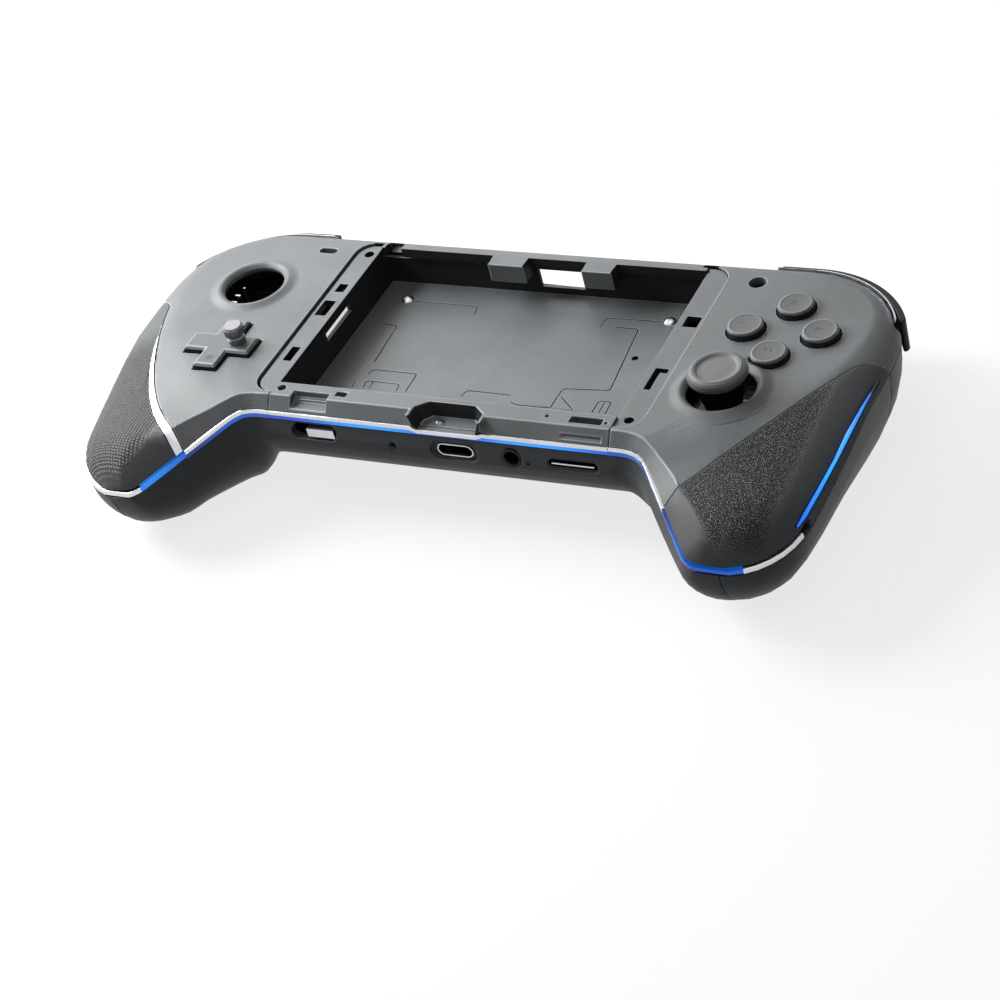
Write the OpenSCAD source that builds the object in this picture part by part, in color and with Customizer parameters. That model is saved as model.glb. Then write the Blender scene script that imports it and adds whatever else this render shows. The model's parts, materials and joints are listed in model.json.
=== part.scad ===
/* [Body] */
// Width across the handles
body_w = 184; // [176:1:224]
// Depth of the plate, from its rear edge to its front edge
body_d = 64.5; // [62:0.5:80]
// Height of the plate above the table
body_h = 29; // [27:0.5:36]
// Thickness of the middle of the body
mid_t = 18; // [17:0.5:20]
// How far each handle reaches in front of the plate
handle_reach = 23.6; // [21:0.1:30]
// Thickness of the moulded walls
wall = 2.2; // [1.6:0.1:2.8]
// Height of the bevel along the front edge
bevel_h = 2.9; // [2.2:0.1:3.6]
// Width of the bevel along the front edge
bevel_w = 2.6; // [2:0.1:4]
// Radius of the rear corners, seen from above
corner_r = 26; // [20:0.5:30]
// Radius where a handle leaves the front edge
knee_r = 9; // [7:0.5:12]
// Angle between the front edge and the inner side of a handle
knee_turn = 52; // [46:0.5:64]

/* [Parting lines] */
// Outward fall of the parting line round a handle
part_roll = 7; // [4:0.5:11]
// Forward fall of the parting line round a handle
part_pitch = 13.5; // [9:0.5:16]
// Visible gap between two covers
seam_gap = 0.2; // [0.1:0.05:0.4]
// Half the width of the front rail, out to its seams
rail_half = 41.9; // [38:0.1:48]
// Height of the bright trim line
trim_h = 1.05; // [0.7:0.05:1.4]
// Height of the light guide under the trim line
light_h = 0.85; // [0.6:0.05:1.2]

/* [Screen bay] */
// Width of the bay between its side walls
bay_w = 84; // [76:0.5:92]
// Width of the ledge along each side of the bay
ledge_w = 5.8; // [4.5:0.1:7]
// Depth of the bay floor below the plate
bay_depth = 10.5; // [8:0.1:11.5]
// How far the ledge lies below the plate
ledge_drop = 0.6; // [0.3:0.1:1.2]
// Width of the rail behind the bay
rear_rail = 5.4; // [4.5:0.1:8]
// Width of the rail in front of the bay
front_rail_w = 7.2; // [6:0.1:9]

/* [Controls] */
// Radius of a button
button_r = 4.15; // [3.5:0.05:5]
// Distance of each button from the middle of the diamond
button_spread = 8.55; // [7.8:0.05:10]
// Height of the buttons above the plate
button_proud = 1.6; // [1:0.1:2.2]
// Travel of a button
button_travel = 1.1; // [0.6:0.1:1.3]
// Length of an arm of the direction pad from its middle
pad_arm = 8.8; // [7.5:0.1:10]
// Width of an arm of the direction pad
pad_w = 6.2; // [5:0.1:7]
// Height of the direction pad above the plate
pad_proud = 1.3; // [0.8:0.1:2]
// Radius of the hole in a stick well
well_r = 7.6; // [7:0.1:9]
// Radius of the right stick's cap
cap_r = 6.3; // [5.5:0.1:7]
// Clearance round a button or pad in its opening
control_gap = 0.35; // [0.3:0.05:0.5]

/* [Ports] */
// Depth of the ports' middles below the plate
port_drop = 8; // [7:0.1:9]
// Width of the charging socket
socket_w = 8.94; // [8.94:0.01:9.2]
// Height of the charging socket
socket_h = 3.26; // [3.26:0.01:3.5]
// Radius of the headphone hole
jack_r = 1.75; // [1.75:0.01:2]
// Width of the memory card slot
card_w = 11.5; // [11.5:0.1:14]
// Length of the power switch slot
switch_w = 11.6; // [10:0.1:14]

/* [Triggers] */
// How far the triggers stand behind the rear edge
trigger_proud = 8; // [6:0.1:10]
// Width of a trigger
trigger_w = 16; // [12:0.5:17]

/* [Hidden] */
fine = 64;
big = 150;
tiny = 0.05;

// Plan of the body: the rear edge and flank, and the front edge and inner side of a handle
half_w = body_w / 2;
total_d = body_d + handle_reach + trigger_proud;
rear_y = total_d / 2 - trigger_proud;
front_y = rear_y - body_d;
toe_y = front_y - handle_reach;
plate_z = body_h;
rim_h = trim_h + light_h;
part_h = plate_z - bevel_h - rim_h;
flank_r = 316;
flank_turn = 8.4;
toe_r = 7;
knee_x = rail_half + 2.6;

function arc(c, r, a0, a1, n, first = 0) =
    [for (i = [first:n]) c + r * [cos(a0 + (a1 - a0) * i / n), sin(a0 + (a1 - a0) * i / n)]];
function line(p, q, n, first = 0) = [for (i = [first:n]) p + (q - p) * i / n];
function mix(a, b, t) = a + (b - a) * t;
function smooth(x, a, b) = let (t = max(0, min(1, (x - a) / (b - a)))) t * t * (3 - 2 * t);
function unit(v) = v / norm(v);
function curve(a, b, c, n) = [for (i = [0:n]) let (t = i / n) mix(mix(a, b, t), mix(b, c, t), t)];

corner_c = [half_w - corner_r, rear_y - corner_r];
flank_c = [half_w - flank_r, corner_c[1]];
flank_end = flank_c + flank_r * [cos(flank_turn), -sin(flank_turn)];
tip_r = (flank_end[1] - toe_y) / (1 - sin(flank_turn));
tip_c = flank_end - tip_r * [cos(flank_turn), -sin(flank_turn)];
outer = concat([for (x = [0, rail_half / 2, rail_half, mix(rail_half, corner_c[0], 0.5)]) [x, rear_y]],
    arc(corner_c, corner_r, 90, 0, 8),
    arc(flank_c, flank_r, 0, -flank_turn, 6, 1),
    arc(tip_c, tip_r, -flank_turn, -80, 8, 1));
knee_c = [knee_x, front_y - knee_r];
leg_a = 90 - knee_turn;
knee_end = knee_c + knee_r * [cos(leg_a), sin(leg_a)];
leg = [sin(leg_a), -cos(leg_a)];
across = [cos(leg_a), sin(leg_a)];
leg_len = (knee_end[1] + across[1] * toe_r - toe_y - toe_r) / -leg[1];
toe_c = knee_end + leg * leg_len + across * toe_r;
leg_split = knee_end + leg * leg_len * 0.5;
inner = concat([for (x = [0, rail_half / 2, rail_half, mix(rail_half, knee_x, 0.5)]) [x, front_y]],
    arc(knee_c, knee_r, 90, leg_a, 8),
    line(knee_end, leg_split, 6, 1),
    line(leg_split, knee_end + leg * leg_len, 4, 1),
    arc(toe_c, toe_r, 180 + leg_a, 254, 4, 1));
seam_i = 2;
flank_i = 12;
corner_i = 18;
last = len(outer) - 1;

// The parting line falls from the knees on, and the grips' seams start at the corners
knee_i = 8;
fall_p = inner[knee_i];
corner_p = inner[corner_i];
function part_z(p) = min(part_h, part_h - tan(part_roll) * (p[0] - fall_p[0])
    + tan(part_pitch) / cos(part_roll) * (p[1] - fall_p[1]));

// Each cross-section runs from a point of the inner path to its partner on the outer one
fall_i = 17;
function mid(i) = (outer[i] + inner[i]) / 2;
function reach(i) = i <= fall_i ? 0 : min(1, norm(mid(i) - mid(fall_i)) / norm(mid(last) - mid(fall_i)));
function fade(i) = sqrt(max(0, 1 - pow(reach(i), 2)));
function span(i) = norm(outer[i] - inner[i]);
function heading(i) = unit(outer[i] - inner[i]);
function edge_z(i) = [part_z(inner[i]), part_z(outer[i])];
function tip_z(i) = (edge_z(i)[0] + edge_z(i)[1]) / 2;
function place(i, d, q) = let (a = inner[i] + heading(i) * (min(d, span(i) / 2 - tiny) + q[0]))
    [a[0], a[1], q[1]];
function top_z(i, d) = max(max(edge_z(i)) + 0.2,
    mix(tip_z(i), plate_z - 2.4 * smooth(i, flank_i, fall_i), fade(i)) - d);
function low_z(i, d) = min(min(edge_z(i)) - 0.5,
    mix(tip_z(i), mix(plate_z - mid_t, 0, smooth(i, 3, 9)), fade(i)) + d);
// The face falls with the parting line along its bevel, and is level again a fold further in
function bevel_top(i, d) = min(top_z(i, d),
    edge_z(i)[0] + rim_h + mix(bevel_h, 3.8, smooth(i, flank_i, corner_i)) - d);
fold_w = 11;
function upper_section(i, d) =
    let (w = max(0.1, span(i) - 2 * d), za = edge_z(i)[0], zb = edge_z(i)[1], top = top_z(i, d),
        rise = bevel_top(i, d) - za, ca = min(mix(bevel_w, 4.8, smooth(i, 10, corner_i)), w * 0.25),
        rb = min(mix(bevel_h + rim_h, 21.5, smooth(i, 8, 15)), w * 0.6))
    [for (q = concat([[0, za - 1.5 - d], [0, za + min(0.3, rise * 0.2)],
        [ca * 0.1, za + min(rim_h, rise * 0.5)], [ca, za + rise],
        [min(ca + fold_w, mix(ca, w - rb, 0.7)), top]],
        [for (k = [0:5]) [w - rb + rb * sin(k * 15), zb + (top - zb) * cos(k * 15)]],
        [[w, zb + min(0.3, (top - zb) * 0.2)], [w, zb - 1.5 - d]])) place(i, d, q)];
function lower_section(i, d) =
    let (w = max(0.1, span(i) - 2 * d), za = edge_z(i)[0], zb = edge_z(i)[1], low = low_z(i, d),
        la = min(mix(6, 15, smooth(i, 3, 9)), w * 0.42), lb = min(mix(9, 21.5, smooth(i, 4, 12)), w * 0.55),
        belly = 1.25 * fade(i) + tiny, lift = min(3, (za - low) * 0.4))
    [for (q = concat([[0, za + 6 + d], [w, zb + 6 + d], [w, zb - min(0.3, (zb - low) * 0.2)]],
        [for (k = [1:6]) [w - lb + lb * cos(k * 15), zb - (zb - low) * sin(k * 15)]],
        [for (k = [0:6]) [la - (la + belly) * sin(k * 15), low + (za - lift - low) * (1 - cos(k * 15))]],
        [[0, za - min(0.3, lift * 0.3)]])) place(i, d, q)];
// The faces of a loft: its sides, cut the other way across before ring number turn, and a fan on each end
function ring_faces(rings, n, turn) = concat(
    [for (k = [0:n - 1]) [(k + 1) % n, k, rings * n]],
    [for (k = [0:n - 1]) [(rings - 1) * n + k, (rings - 1) * n + (k + 1) % n, rings * n + 1]],
    [for (r = [0:rings - 2]) for (k = [0:n - 1])
        let (p = r * n + k, q = r * n + (k + 1) % n)
        each r < turn ? [[p, q, p + n], [q, q + n, p + n]] : [[p, q, q + n], [p, q + n, p + n]]]);
function middle(ring) = [for (axis = [0:2]) [for (p = ring) p[axis]] * [for (p = ring) 1 / len(ring)]];
function flip(points) = [for (p = points) [-p[0], p[1], p[2]]];

module loft(rings, turn = 0) {
    count = len(rings);
    polyhedron(concat([for (r = rings) each r], [middle(rings[0]), middle(rings[count - 1])]),
        ring_faces(count, len(rings[0]), turn), convexity = 10);
}
// The hollow inside stops short of the tips
function end_i(d) = d > 0 ? last - 2 : last;
function start_i(d) = d > 0 ? flank_i - 3 : flank_i - 2;
module upper_form(d = 0) {
    loft(concat([for (i = [end_i(d):-1:1]) flip(upper_section(i, d))],
        [for (i = [0:end_i(d)]) upper_section(i, d)]), end_i(d));
}
module lower_form(d = 0) {
    loft(concat([for (i = [end_i(d):-1:1]) flip(lower_section(i, d))],
        [for (i = [0:end_i(d)]) lower_section(i, d)]), end_i(d));
}
module handle_upper(d = 0) {
    loft([for (i = [start_i(d):end_i(d)]) upper_section(i, d)]);
}
module handle_lower(d = 0) {
    loft([for (i = [start_i(d):end_i(d)]) lower_section(i, d)]);
}
module on_side(side) {
    if (side > 0) children();
    else mirror([1, 0, 0]) children();
}
module both_sides() {
    children();
    mirror([1, 0, 0]) children();
}
module at(p, z = 0) {
    translate([p[0], p[1], z]) children();
}
module post(r, z0, z1) {
    translate([0, 0, z0]) cylinder(r = r, h = z1 - z0, $fn = fine);
}
module block(x0, x1, y0, y1, z0, z1) {
    translate([x0, y0, z0]) cube([x1 - x0, y1 - y0, z1 - z0]);
}
// Everything below the parting lines
module tilted() {
    at(fall_p, part_h) rotate([part_pitch, part_roll, 0])
        translate([-big, -big, -big]) cube([2 * big, 2 * big, big]);
}
module below_parting() {
    intersection() {
        translate([-big, -big, -big]) cube([2 * big, 2 * big, part_h + big]);
        tilted();
        mirror([1, 0, 0]) tilted();
    }
}

// The rim is the inner path followed round the tip onto the outer one
function rim(j) = j <= last ? inner[j] : outer[2 * last - j];
function rim_in(j) = let (t = unit(rim(j + 1) - rim(j - 1))) [-t[1], t[0]];
function rim_point(j, q) = let (p = rim(j) + rim_in(j) * q[0]) [p[0], p[1], part_z(p) + q[1]];
module rim_strip(j0, j1, z0, z1, deep = 1.6, lean = 0.12) {
    loft([for (j = [j0:j1]) [for (q = [[-lean, z0], [0, z1], [deep, z1], [deep, z0]]) rim_point(j, q)]]);
}
module rim_channel() {
    loft([for (j = [seam_i:rim_end_j + 1])
        [for (q = [[-2, -1], [-2, rim_h + tiny], [1.7, rim_h + tiny], [1.7, -1]]) rim_point(j, q)]]);
}
// The light ends before the tip of the left handle and past that of the right one
function tip_light_j(side) = side < 0 ? 23 : 28;
rim_end_j = 33;
module knee_trim(side) {
    color("silver") on_side(side) rim_strip(seam_i, corner_i, light_h + 2 * tiny, rim_h);
}
module knee_light(side) {
    color("deepskyblue") on_side(side) difference() {
        rim_strip(seam_i, corner_i, 0, light_h);
        below_parting();
    }
}
module tip_light(side) {
    color("deepskyblue") on_side(side) rim_strip(corner_i, tip_light_j(side), 0, rim_h);
}
module tip_trim(side) {
    color("silver") on_side(side) rim_strip(tip_light_j(side), rim_end_j, 0, rim_h);
}

// Seams of the grips in plan, with a bulge that sets how far each one bows outwards
seam_top = [half_w - 6, corner_c[1] - 7.5];
function seam_curve(side) = curve(corner_p + [3.6, 2.9],
    corner_p + (side > 0 ? [15, 21] : [19, 13.4]), seam_top, 10);
function seam_end() = curve(seam_top, seam_top + [2.6, 3.6], [half_w + 4, corner_c[1] - 3], 4);
module grip_plan(side, gap = 0) {
    translate([gap * 0.8, -gap * 0.6]) polygon(concat([corner_p - [6, 4.8]], seam_curve(side), seam_end(),
        [[half_w + 12, corner_c[1] - 3], [half_w + 12, toe_y - 10], [corner_p[0] - 6, toe_y - 10]]));
}
function seam_trim_w(t) = 2.2 * pow(max(0, 1 - t / 0.9), 0.6);
module seam_trim_plan(grow = 0) {
    edge = seam_curve(-1);
    n = len(edge) - 1;
    band = [for (i = [0:n - 1]) let (t = unit(edge[i + 1] - edge[i]), w = seam_trim_w(i / n) + grow)
        edge[i] + [t[1], -t[0]] * w];
    polygon(concat([corner_p - [6, 4.8 + grow]], [for (i = [0:n - 1]) edge[i] + [-0.1, 0.1]],
        [for (i = [n - 1:-1:0]) band[i]], [corner_p - [6, 7 + grow]]));
}

// Screen bay
bay_half = bay_w / 2;
ledge_out = bay_half + ledge_w;
bay_rear = rear_y - rear_rail;
bay_front = front_y + front_rail_w;
floor_z = plate_z - bay_depth;
floor_t = 1.5;
ledge_z = plate_z - ledge_drop;
ledge_t = 1.8;
side_t = 1.4;
rail_t = 2.4;
ledge_front = front_y + 3.8;
recess_r = 4.6;
left_groove = 0.6;
ledge_rear = rear_y - 3.6;
pocket_wall = rear_y - 4.4;
column_y = rear_y - 8.9;
columns = [[-11.8, -2.6], [12.2, 19.8]];
window = [-1.6, 9.6];

// Controls, placed from the middle of each wing
wing_x = (ledge_out + half_w) / 2;
left_stick = [-(wing_x - 2.7), rear_y - 23.9];
diamond = [wing_x - 2.7, rear_y - 24.9];
pad_c = [-(wing_x - 6.9), rear_y - 47];
right_stick = [wing_x - 9.1, rear_y - 45.5];
lamp_hole = [ledge_out + 7.3, rear_y - 8.1];
cover_under = plate_z - wall;
flange_top = cover_under - 0.3;
crest_z = plate_z + 0.95;

module recess_plan(in = 0) {
    x = ledge_out - recess_r;
    y0 = ledge_front + recess_r;
    y1 = ledge_rear - recess_r;
    r = recess_r - in;
    polygon(concat(arc([x, y1], r, 90, 0, 5), arc([x, y0], r, 0, -90, 5),
        arc([-x, y0], r, 270, 180, 5), arc([-x, y1], r, 180, 90, 5)));
}
// The cover's window: the ledges at the sides, and the rear rail with its columns behind
module window_plan() {
    difference() {
        recess_plan();
        difference() {
            translate([-bay_half + 0.2, bay_rear]) square([2 * bay_half - 0.4, rear_rail]);
            translate([-bay_half + 1, bay_rear - 1]) square([4.5, 3.2]);
        }
        for (c = columns) translate([c[0], column_y]) square([c[1] - c[0], rear_rail + 8]);
    }
}
module cross_plan(grow = 0) {
    arm = pad_arm + grow;
    half = pad_w / 2 + grow;
    polygon([[half, half], [half, arm], [-half, arm], [-half, half], [-arm, half], [-arm, -half],
        [-half, -half], [-half, -arm], [half, -arm], [half, -half], [arm, -half], [arm, half]]);
}
module well_ring(r) {
    rotate_extrude($fn = fine) polygon([[r, plate_z - 1], [r, plate_z + 0.1], [r + 0.5, plate_z + 0.6],
        [r + 0.9, crest_z - 0.1], [r + 1.3, crest_z], [r + 1.8, crest_z - 0.15], [r + 2.8, plate_z + 0.3],
        [r + 4.2, plate_z - 0.05], [r + 4.2, plate_z - 1]]);
}
module well_hole(r) {
    post(r, 0, big);
    translate([0, 0, cover_under - 0.8]) cylinder(r1 = r + 2.4, r2 = r, h = 2.2, $fn = fine);
}
buttons = [["rear", [0, 1]], ["front", [0, -1]], ["inner", [-1, 0]], ["outer", [1, 0]]];
function button_c(k) = diamond + buttons[k][1] * button_spread;

// Bumpers wrap the rear corners, and the triggers hang behind them
bumper_low = 18.6;
bumper_top = plate_z - 2.2;
bumper_out = corner_r + 1.5;
bumper_in = corner_r - 0.1;
zone_r = corner_r - 1.2;
zone_top = plate_z - 1.5;
bumper_x0 = corner_c[0] - 9;
bumper_a = 24;
bumper_pin = [bumper_x0 + 2.4, rear_y - 4.8];
bumper_pin_r = 0.8;
trigger_x = corner_c[0] + 5.4;
trigger_pin = [rear_y - 9, bumper_low - 3];
trigger_pin_r = 0.9;
running = 0.05;

module sector(r0, r1, z0, z1, a) {
    at(corner_c, z0) rotate([0, 0, a]) rotate_extrude(angle = 90 - a, $fn = 96)
        translate([r0, 0]) square([r1 - r0, z1 - z0]);
}
module bumper_zone() {
    sector(zone_r, corner_r + 6, bumper_low - 0.4, zone_top, bumper_a - 3);
    block(bumper_x0 - 0.4, corner_c[0] + tiny, corner_c[1] + zone_r, rear_y + 6, bumper_low - 0.4, zone_top);
    block(bumper_x0 - 0.4, bumper_pin[0] + 3, rear_y - 7.2, rear_y, bumper_low - 0.4, cover_under);
}
module trigger_zone() {
    block(trigger_x - trigger_w / 2 - 0.5, trigger_x + trigger_w / 2 + 0.5, rear_y - 11.9, rear_y + 9,
        0, bumper_low - 0.5);
}
module front_cover() {
    color("dimgray") difference() {
        union() {
            difference() {
                upper_form();
                upper_form(wall);
            }
            difference() {
                for (c = columns) block(c[0], c[1], column_y, pocket_wall - 0.15, floor_z + 0.3, plate_z);
                block(-ledge_out, ledge_out, bay_rear - 1, rear_y, 0, floor_z + 0.3);
            }
            at(left_stick) well_ring(well_r - 0.3);
            at(right_stick) well_ring(well_r);
            cover_bosses();
        }
        below_parting();
        rim_channel();
        mirror([1, 0, 0]) rim_channel();
        translate([0, 0, -1]) linear_extrude(big) window_plan();
        block(-rail_half - seam_gap, rail_half + seam_gap, front_y - 5, ledge_front + 1, 0, plate_z + 1);
        for (side = [-1, 1]) on_side(side) {
            translate([0, 0, -1]) linear_extrude(big) grip_plan(side);
            bumper_zone();
        }
        at(left_stick) well_hole(well_r - 0.3);
        at(right_stick) well_hole(well_r);
        at(pad_c, cover_under - 1) linear_extrude(big) cross_plan(control_gap);
        for (k = [0:3]) at(button_c(k)) post(button_r + control_gap, cover_under - 1, big);
        at(lamp_hole) post(1.95, cover_under - 1, big);
        mirror([1, 0, 0]) at(lamp_hole) {
            for (x = [-1.4, 1.4]) translate([x, 0]) post(0.95, cover_under - 1, big);
            block(-1.4, 1.4, -0.95, 0.95, cover_under - 1, big);
        }
        boss_holes();
        window_passage();
        both_sides() at(bumper_pin) post(bumper_pin_r, 0, plate_z - 0.9);
    }
}
// Bosses under the cover for the rear screws and the control boards
rear_screw = [[ledge_out + 2.7, rear_y - 13], [ledge_out + 2.7, front_y + 14]];
board_z = 20;
board_t = 1.2;
function pad_screws() = [for (x = [-7.6, 7.6], y = [-8.8, 8.8]) pad_c + [x, y]];
function button_screws() = [for (x = [-9.6, 9.6], y = [-9.6, 9.6]) diamond + [x, y]];
module cover_bosses() {
    both_sides() for (p = rear_screw) at(p) post(2.4, 17.2, cover_under + 0.5);
    for (p = concat(pad_screws(), button_screws())) at(p) post(1.6, board_z + board_t, cover_under + 0.5);
    both_sides() at(bumper_pin) post(2, cover_under - 0.3, cover_under + 0.5);
}
module boss_holes() {
    both_sides() for (p = rear_screw) at(p) post(1, 17, cover_under - 1);
    for (p = concat(pad_screws(), button_screws())) at(p) post(0.7, 17, cover_under - 1);
}

// The front rail closes the bay between the two seams
notch_x = [-5.4, 11.8];
module notch_plan(inset, side_y, corner_x, grow) {
    x0 = notch_x[0];
    x1 = notch_x[1];
    y1 = front_y + side_y + 2.2 + grow;
    linear_extrude(0.1) polygon([[x0 + inset - grow, front_y - 3], [x0 + inset - grow, front_y + side_y],
        [x0 + corner_x, y1], [x1 - corner_x, y1], [x1 - inset + grow, front_y + side_y],
        [x1 - inset + grow, front_y - 3]]);
}
module notch(grow = 0) {
    hull() {
        translate([0, 0, plate_z + 0.2 + grow]) notch_plan(0, 3.4, 2.7, grow);
        translate([0, 0, plate_z - 3.6 - grow]) notch_plan(1.6, 3, 3.6, grow);
    }
}
module rail_profile() {
    polygon([[bay_front, plate_z - rail_t], [bay_front, plate_z], [front_y + bevel_w, plate_z],
        [front_y + bevel_w * 0.1, plate_z - bevel_h], [front_y + 2.2, plate_z - bevel_h],
        [front_y + 3.2, plate_z - rail_t]]);
}
module along_x(x0, x1) {
    translate([x0, 0, 0]) rotate([90, 0, 90]) linear_extrude(x1 - x0) children();
}
notch_screw_p = [0.4, front_y + 3];
module front_rail() {
    color("dimgray") difference() {
        union() {
            along_x(-rail_half, rail_half) rail_profile();
            intersection() {
                notch(1);
                block(-rail_half, rail_half, front_y + bevel_w * 0.1, bay_front, part_h + tiny, plate_z);
            }
        }
        notch();
        block(-36.4, -27.2, front_y - 1, front_y + 3.6, plate_z - 2.2, plate_z + 1);
        block(-36.4, -27.2, front_y + 1.4, front_y + 4.6, plate_z - 1.6, plate_z + 1);
        block(-25.9, -23.1, front_y + 4.2, front_y + 5.8, 0, plate_z + 1);
        block(31.9, 39.4, front_y + 3.7, front_y + 5.7, 0, plate_z + 1);
        block(30.6, 40.2, front_y - 1, front_y + 1.5, plate_z - 2.4, plate_z - 0.7);
        at([-rail_half + 1.9, bay_front - 2]) post(1, 0, big);
        at([26.4, front_y + 4.9]) post(0.45, 0, big);
        at([40.3, front_y + 4.6]) post(0.35, 0, big);
        at(notch_screw_p) post(0.8, 0, big);
        front_trim_zone();
    }
}
module front_trim_zone() {
    translate([0, front_y + 1.7, 0]) rotate([90, 0, 0]) linear_extrude(4) polygon(concat(
        dip_line(trim_top + tiny, 1), [[rail_half + 1, part_h - 1], [-rail_half - 1, part_h - 1]]));
}
// The trim line dips under the notch
trim_top = plate_z - bevel_h;
trim_dip = light_h - 0.15;
function dip_line(z, over = 0) = [[-rail_half - over, z], [notch_x[0] - 0.4, z],
    [notch_x[0] + 1.4, z - trim_dip], [notch_x[1] - 1.4, z - trim_dip],
    [notch_x[1] + 0.4, z], [rail_half + over, z]];
function backwards(v) = [for (i = [len(v) - 1:-1:0]) v[i]];
module front_trim() {
    color("silver") translate([0, front_y + 1.6, 0]) rotate([90, 0, 0]) linear_extrude(1.72)
        polygon(concat(dip_line(trim_top), backwards(dip_line(trim_top - trim_h))));
}
module front_light() {
    color("deepskyblue") translate([0, front_y + 1.6, 0]) rotate([90, 0, 0]) linear_extrude(1.66)
        polygon(concat(dip_line(trim_top - trim_h), [[rail_half, part_h], [-rail_half, part_h]]));
}

// The bay frame: ledges, side walls, floor and the sloping roof over the ports
roof_z = ledge_z - 0.2;
roof_slope = 0.943;
roof_y = bay_front + 0.15;
roof_foot = roof_y + (roof_z - floor_z) / roof_slope;
module bay_frame() {
    color("dimgray") difference() {
        union() {
            block(-bay_half - side_t, bay_half + side_t, roof_foot - 1.4, pocket_wall - 0.6,
                floor_z - floor_t, floor_z);
            both_sides() {
                block(bay_half, bay_half + side_t, front_y + 4.2, bay_rear - 0.2, floor_z - 0.2, ledge_z);
                block(bay_half, bay_half + side_t, bay_rear - 1, pocket_wall + 1,
                    floor_z + 1.2, cover_under - 1.2);
                block(bay_half, bay_half + side_t, bay_rear - 1, pocket_wall + 0.3,
                    floor_z - 0.2, floor_z + 1.3);
                block(bay_half, bay_half + side_t, front_y + 6, pocket_wall - 0.6,
                    floor_z - floor_t, floor_z);
            }
            for (side = [-1, 1]) on_side(side) intersection() {
                translate([0, 0, ledge_z - ledge_t]) linear_extrude(ledge_t)
                    recess_plan(side < 0 ? left_groove : seam_gap);
                block(bay_half, ledge_out, ledge_front, ledge_rear, 0, plate_z);
            }
            block(-bay_half, bay_half, pocket_wall - 1, pocket_wall + 0.3, floor_z - 0.3, floor_z);
            block(-bay_half, bay_half, pocket_wall, pocket_wall + 0.3, floor_z - 0.3, floor_z + 1.5);
            block(-bay_half, bay_half, pocket_wall, pocket_wall + 1, floor_z + 1.2, cover_under - 1.2);
            along_x(-bay_half, bay_half) polygon([[roof_foot, floor_z], [roof_y, roof_z],
                [roof_y, roof_z - 1.2], [roof_foot - 1.3, floor_z - 0.1]]);
        }
        bay_window();
        ledge_slots();
        jack_gap();
        for (p = floor_screw_p) at(p) post(0.9, 0, big);
        at([30.4, rear_y - 25.2]) post(0.8, 0, big);
    }
}
floor_screw_p = [[-34.8, rear_y - 11], [33.3, rear_y - 11.2]];
module bay_window() {
    block(window[0], window[1], pocket_wall - 1, pocket_wall + 4, plate_z - 8.7, plate_z - 3.8);
}
module ledge_slots() {
    mirror([1, 0, 0]) {
        at([bay_half + 2.2, rear_y - 7.6]) post(1.2, 0, big);
        block(bay_half + 1.5, bay_half + 3.9, rear_y - 22.8, rear_y - 19.6, ledge_z - ledge_t - 1, big);
        block(bay_half + 1.5, bay_half + 4.5, rear_y - 32, rear_y - 26.2, ledge_z - ledge_t - 1, big);
        block(bay_half + 1.5, bay_half + 3.7, rear_y - 49.2, rear_y - 44, ledge_z - ledge_t - 1, big);
        block(bay_half - 1, bay_half + side_t + 1, rear_y - 35.7, rear_y - 23.7, plate_z - 5, plate_z - 3);
    }
    block(bay_half + 1.5, bay_half + 5, rear_y - 25, rear_y - 21.2, ledge_z - ledge_t - 1, big);
    block(bay_half + 1.5, bay_half + 3, rear_y - 47.2, rear_y - 39.8, ledge_z - ledge_t - 1, big);
    block(bay_half + 1.5, bay_half + 4.6, rear_y - 41.3, rear_y - 39.8, ledge_z - ledge_t - 1, big);
    at([bay_half + 2.6, ledge_front + 3]) post(1.1, 0, big);
}

// Ports along the front wall
port_z = plate_z - port_drop;
socket_x = 4.7;
jack_x = 18.65;
pin_x = 22.5;
card_x = 33.2;
switch_x = -30.6;
mic_x = -10.6;
jack_len = 13;
nose_r = jack_r + 0.5;
nose_in = 0.4;
card_len = 12.6;
module_front = front_y + 3.2;
front_wall_y = front_y - 1.3;
module jack_gap() {
    block(jack_x - 3.2, jack_x + 3.2, front_y, front_y + jack_len + 0.2, port_z - 3, port_z + 2.6);
}
module into_wall(x, z, depth) {
    translate([x, front_wall_y - 1, z]) rotate([-90, 0, 0]) linear_extrude(depth + 1) children();
}
module slot_shape(w, h) {
    hull() for (x = [-1, 1]) translate([x * (w - h) / 2, 0]) circle(h / 2, $fn = 32);
}
module port_holes() {
    into_wall(socket_x, port_z, 1.1) slot_shape(11.8, 4.9);
    into_wall(socket_x, port_z, 6) slot_shape(socket_w + 0.2, socket_h + 0.2);
    into_wall(jack_x, port_z, nose_in) circle(nose_r + 0.5, $fn = fine);
    into_wall(jack_x, port_z, 6) circle(nose_r + running, $fn = fine);
    into_wall(pin_x, port_z - 0.9, 6) circle(0.4, $fn = fine);
    into_wall(mic_x, port_z - 0.3, 6) circle(0.7, $fn = fine);
    into_wall(mic_x, port_z - 0.3, 0.6) circle(1.1, $fn = fine);
    into_wall(card_x, port_z - 0.2, 0.7) slot_shape(card_w + 0.6, 2.9);
    into_wall(card_x, port_z - 0.2, 6) slot_shape(card_w, 1.7);
    into_wall(switch_x, port_z + 0.9, 6) slot_shape(switch_w, 3.6);
}
module window_passage() {
    block(window[0] - 4, window[1], pocket_wall + 1, rear_y + 3, plate_z - 13.6, plate_z - 3.8);
}
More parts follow.
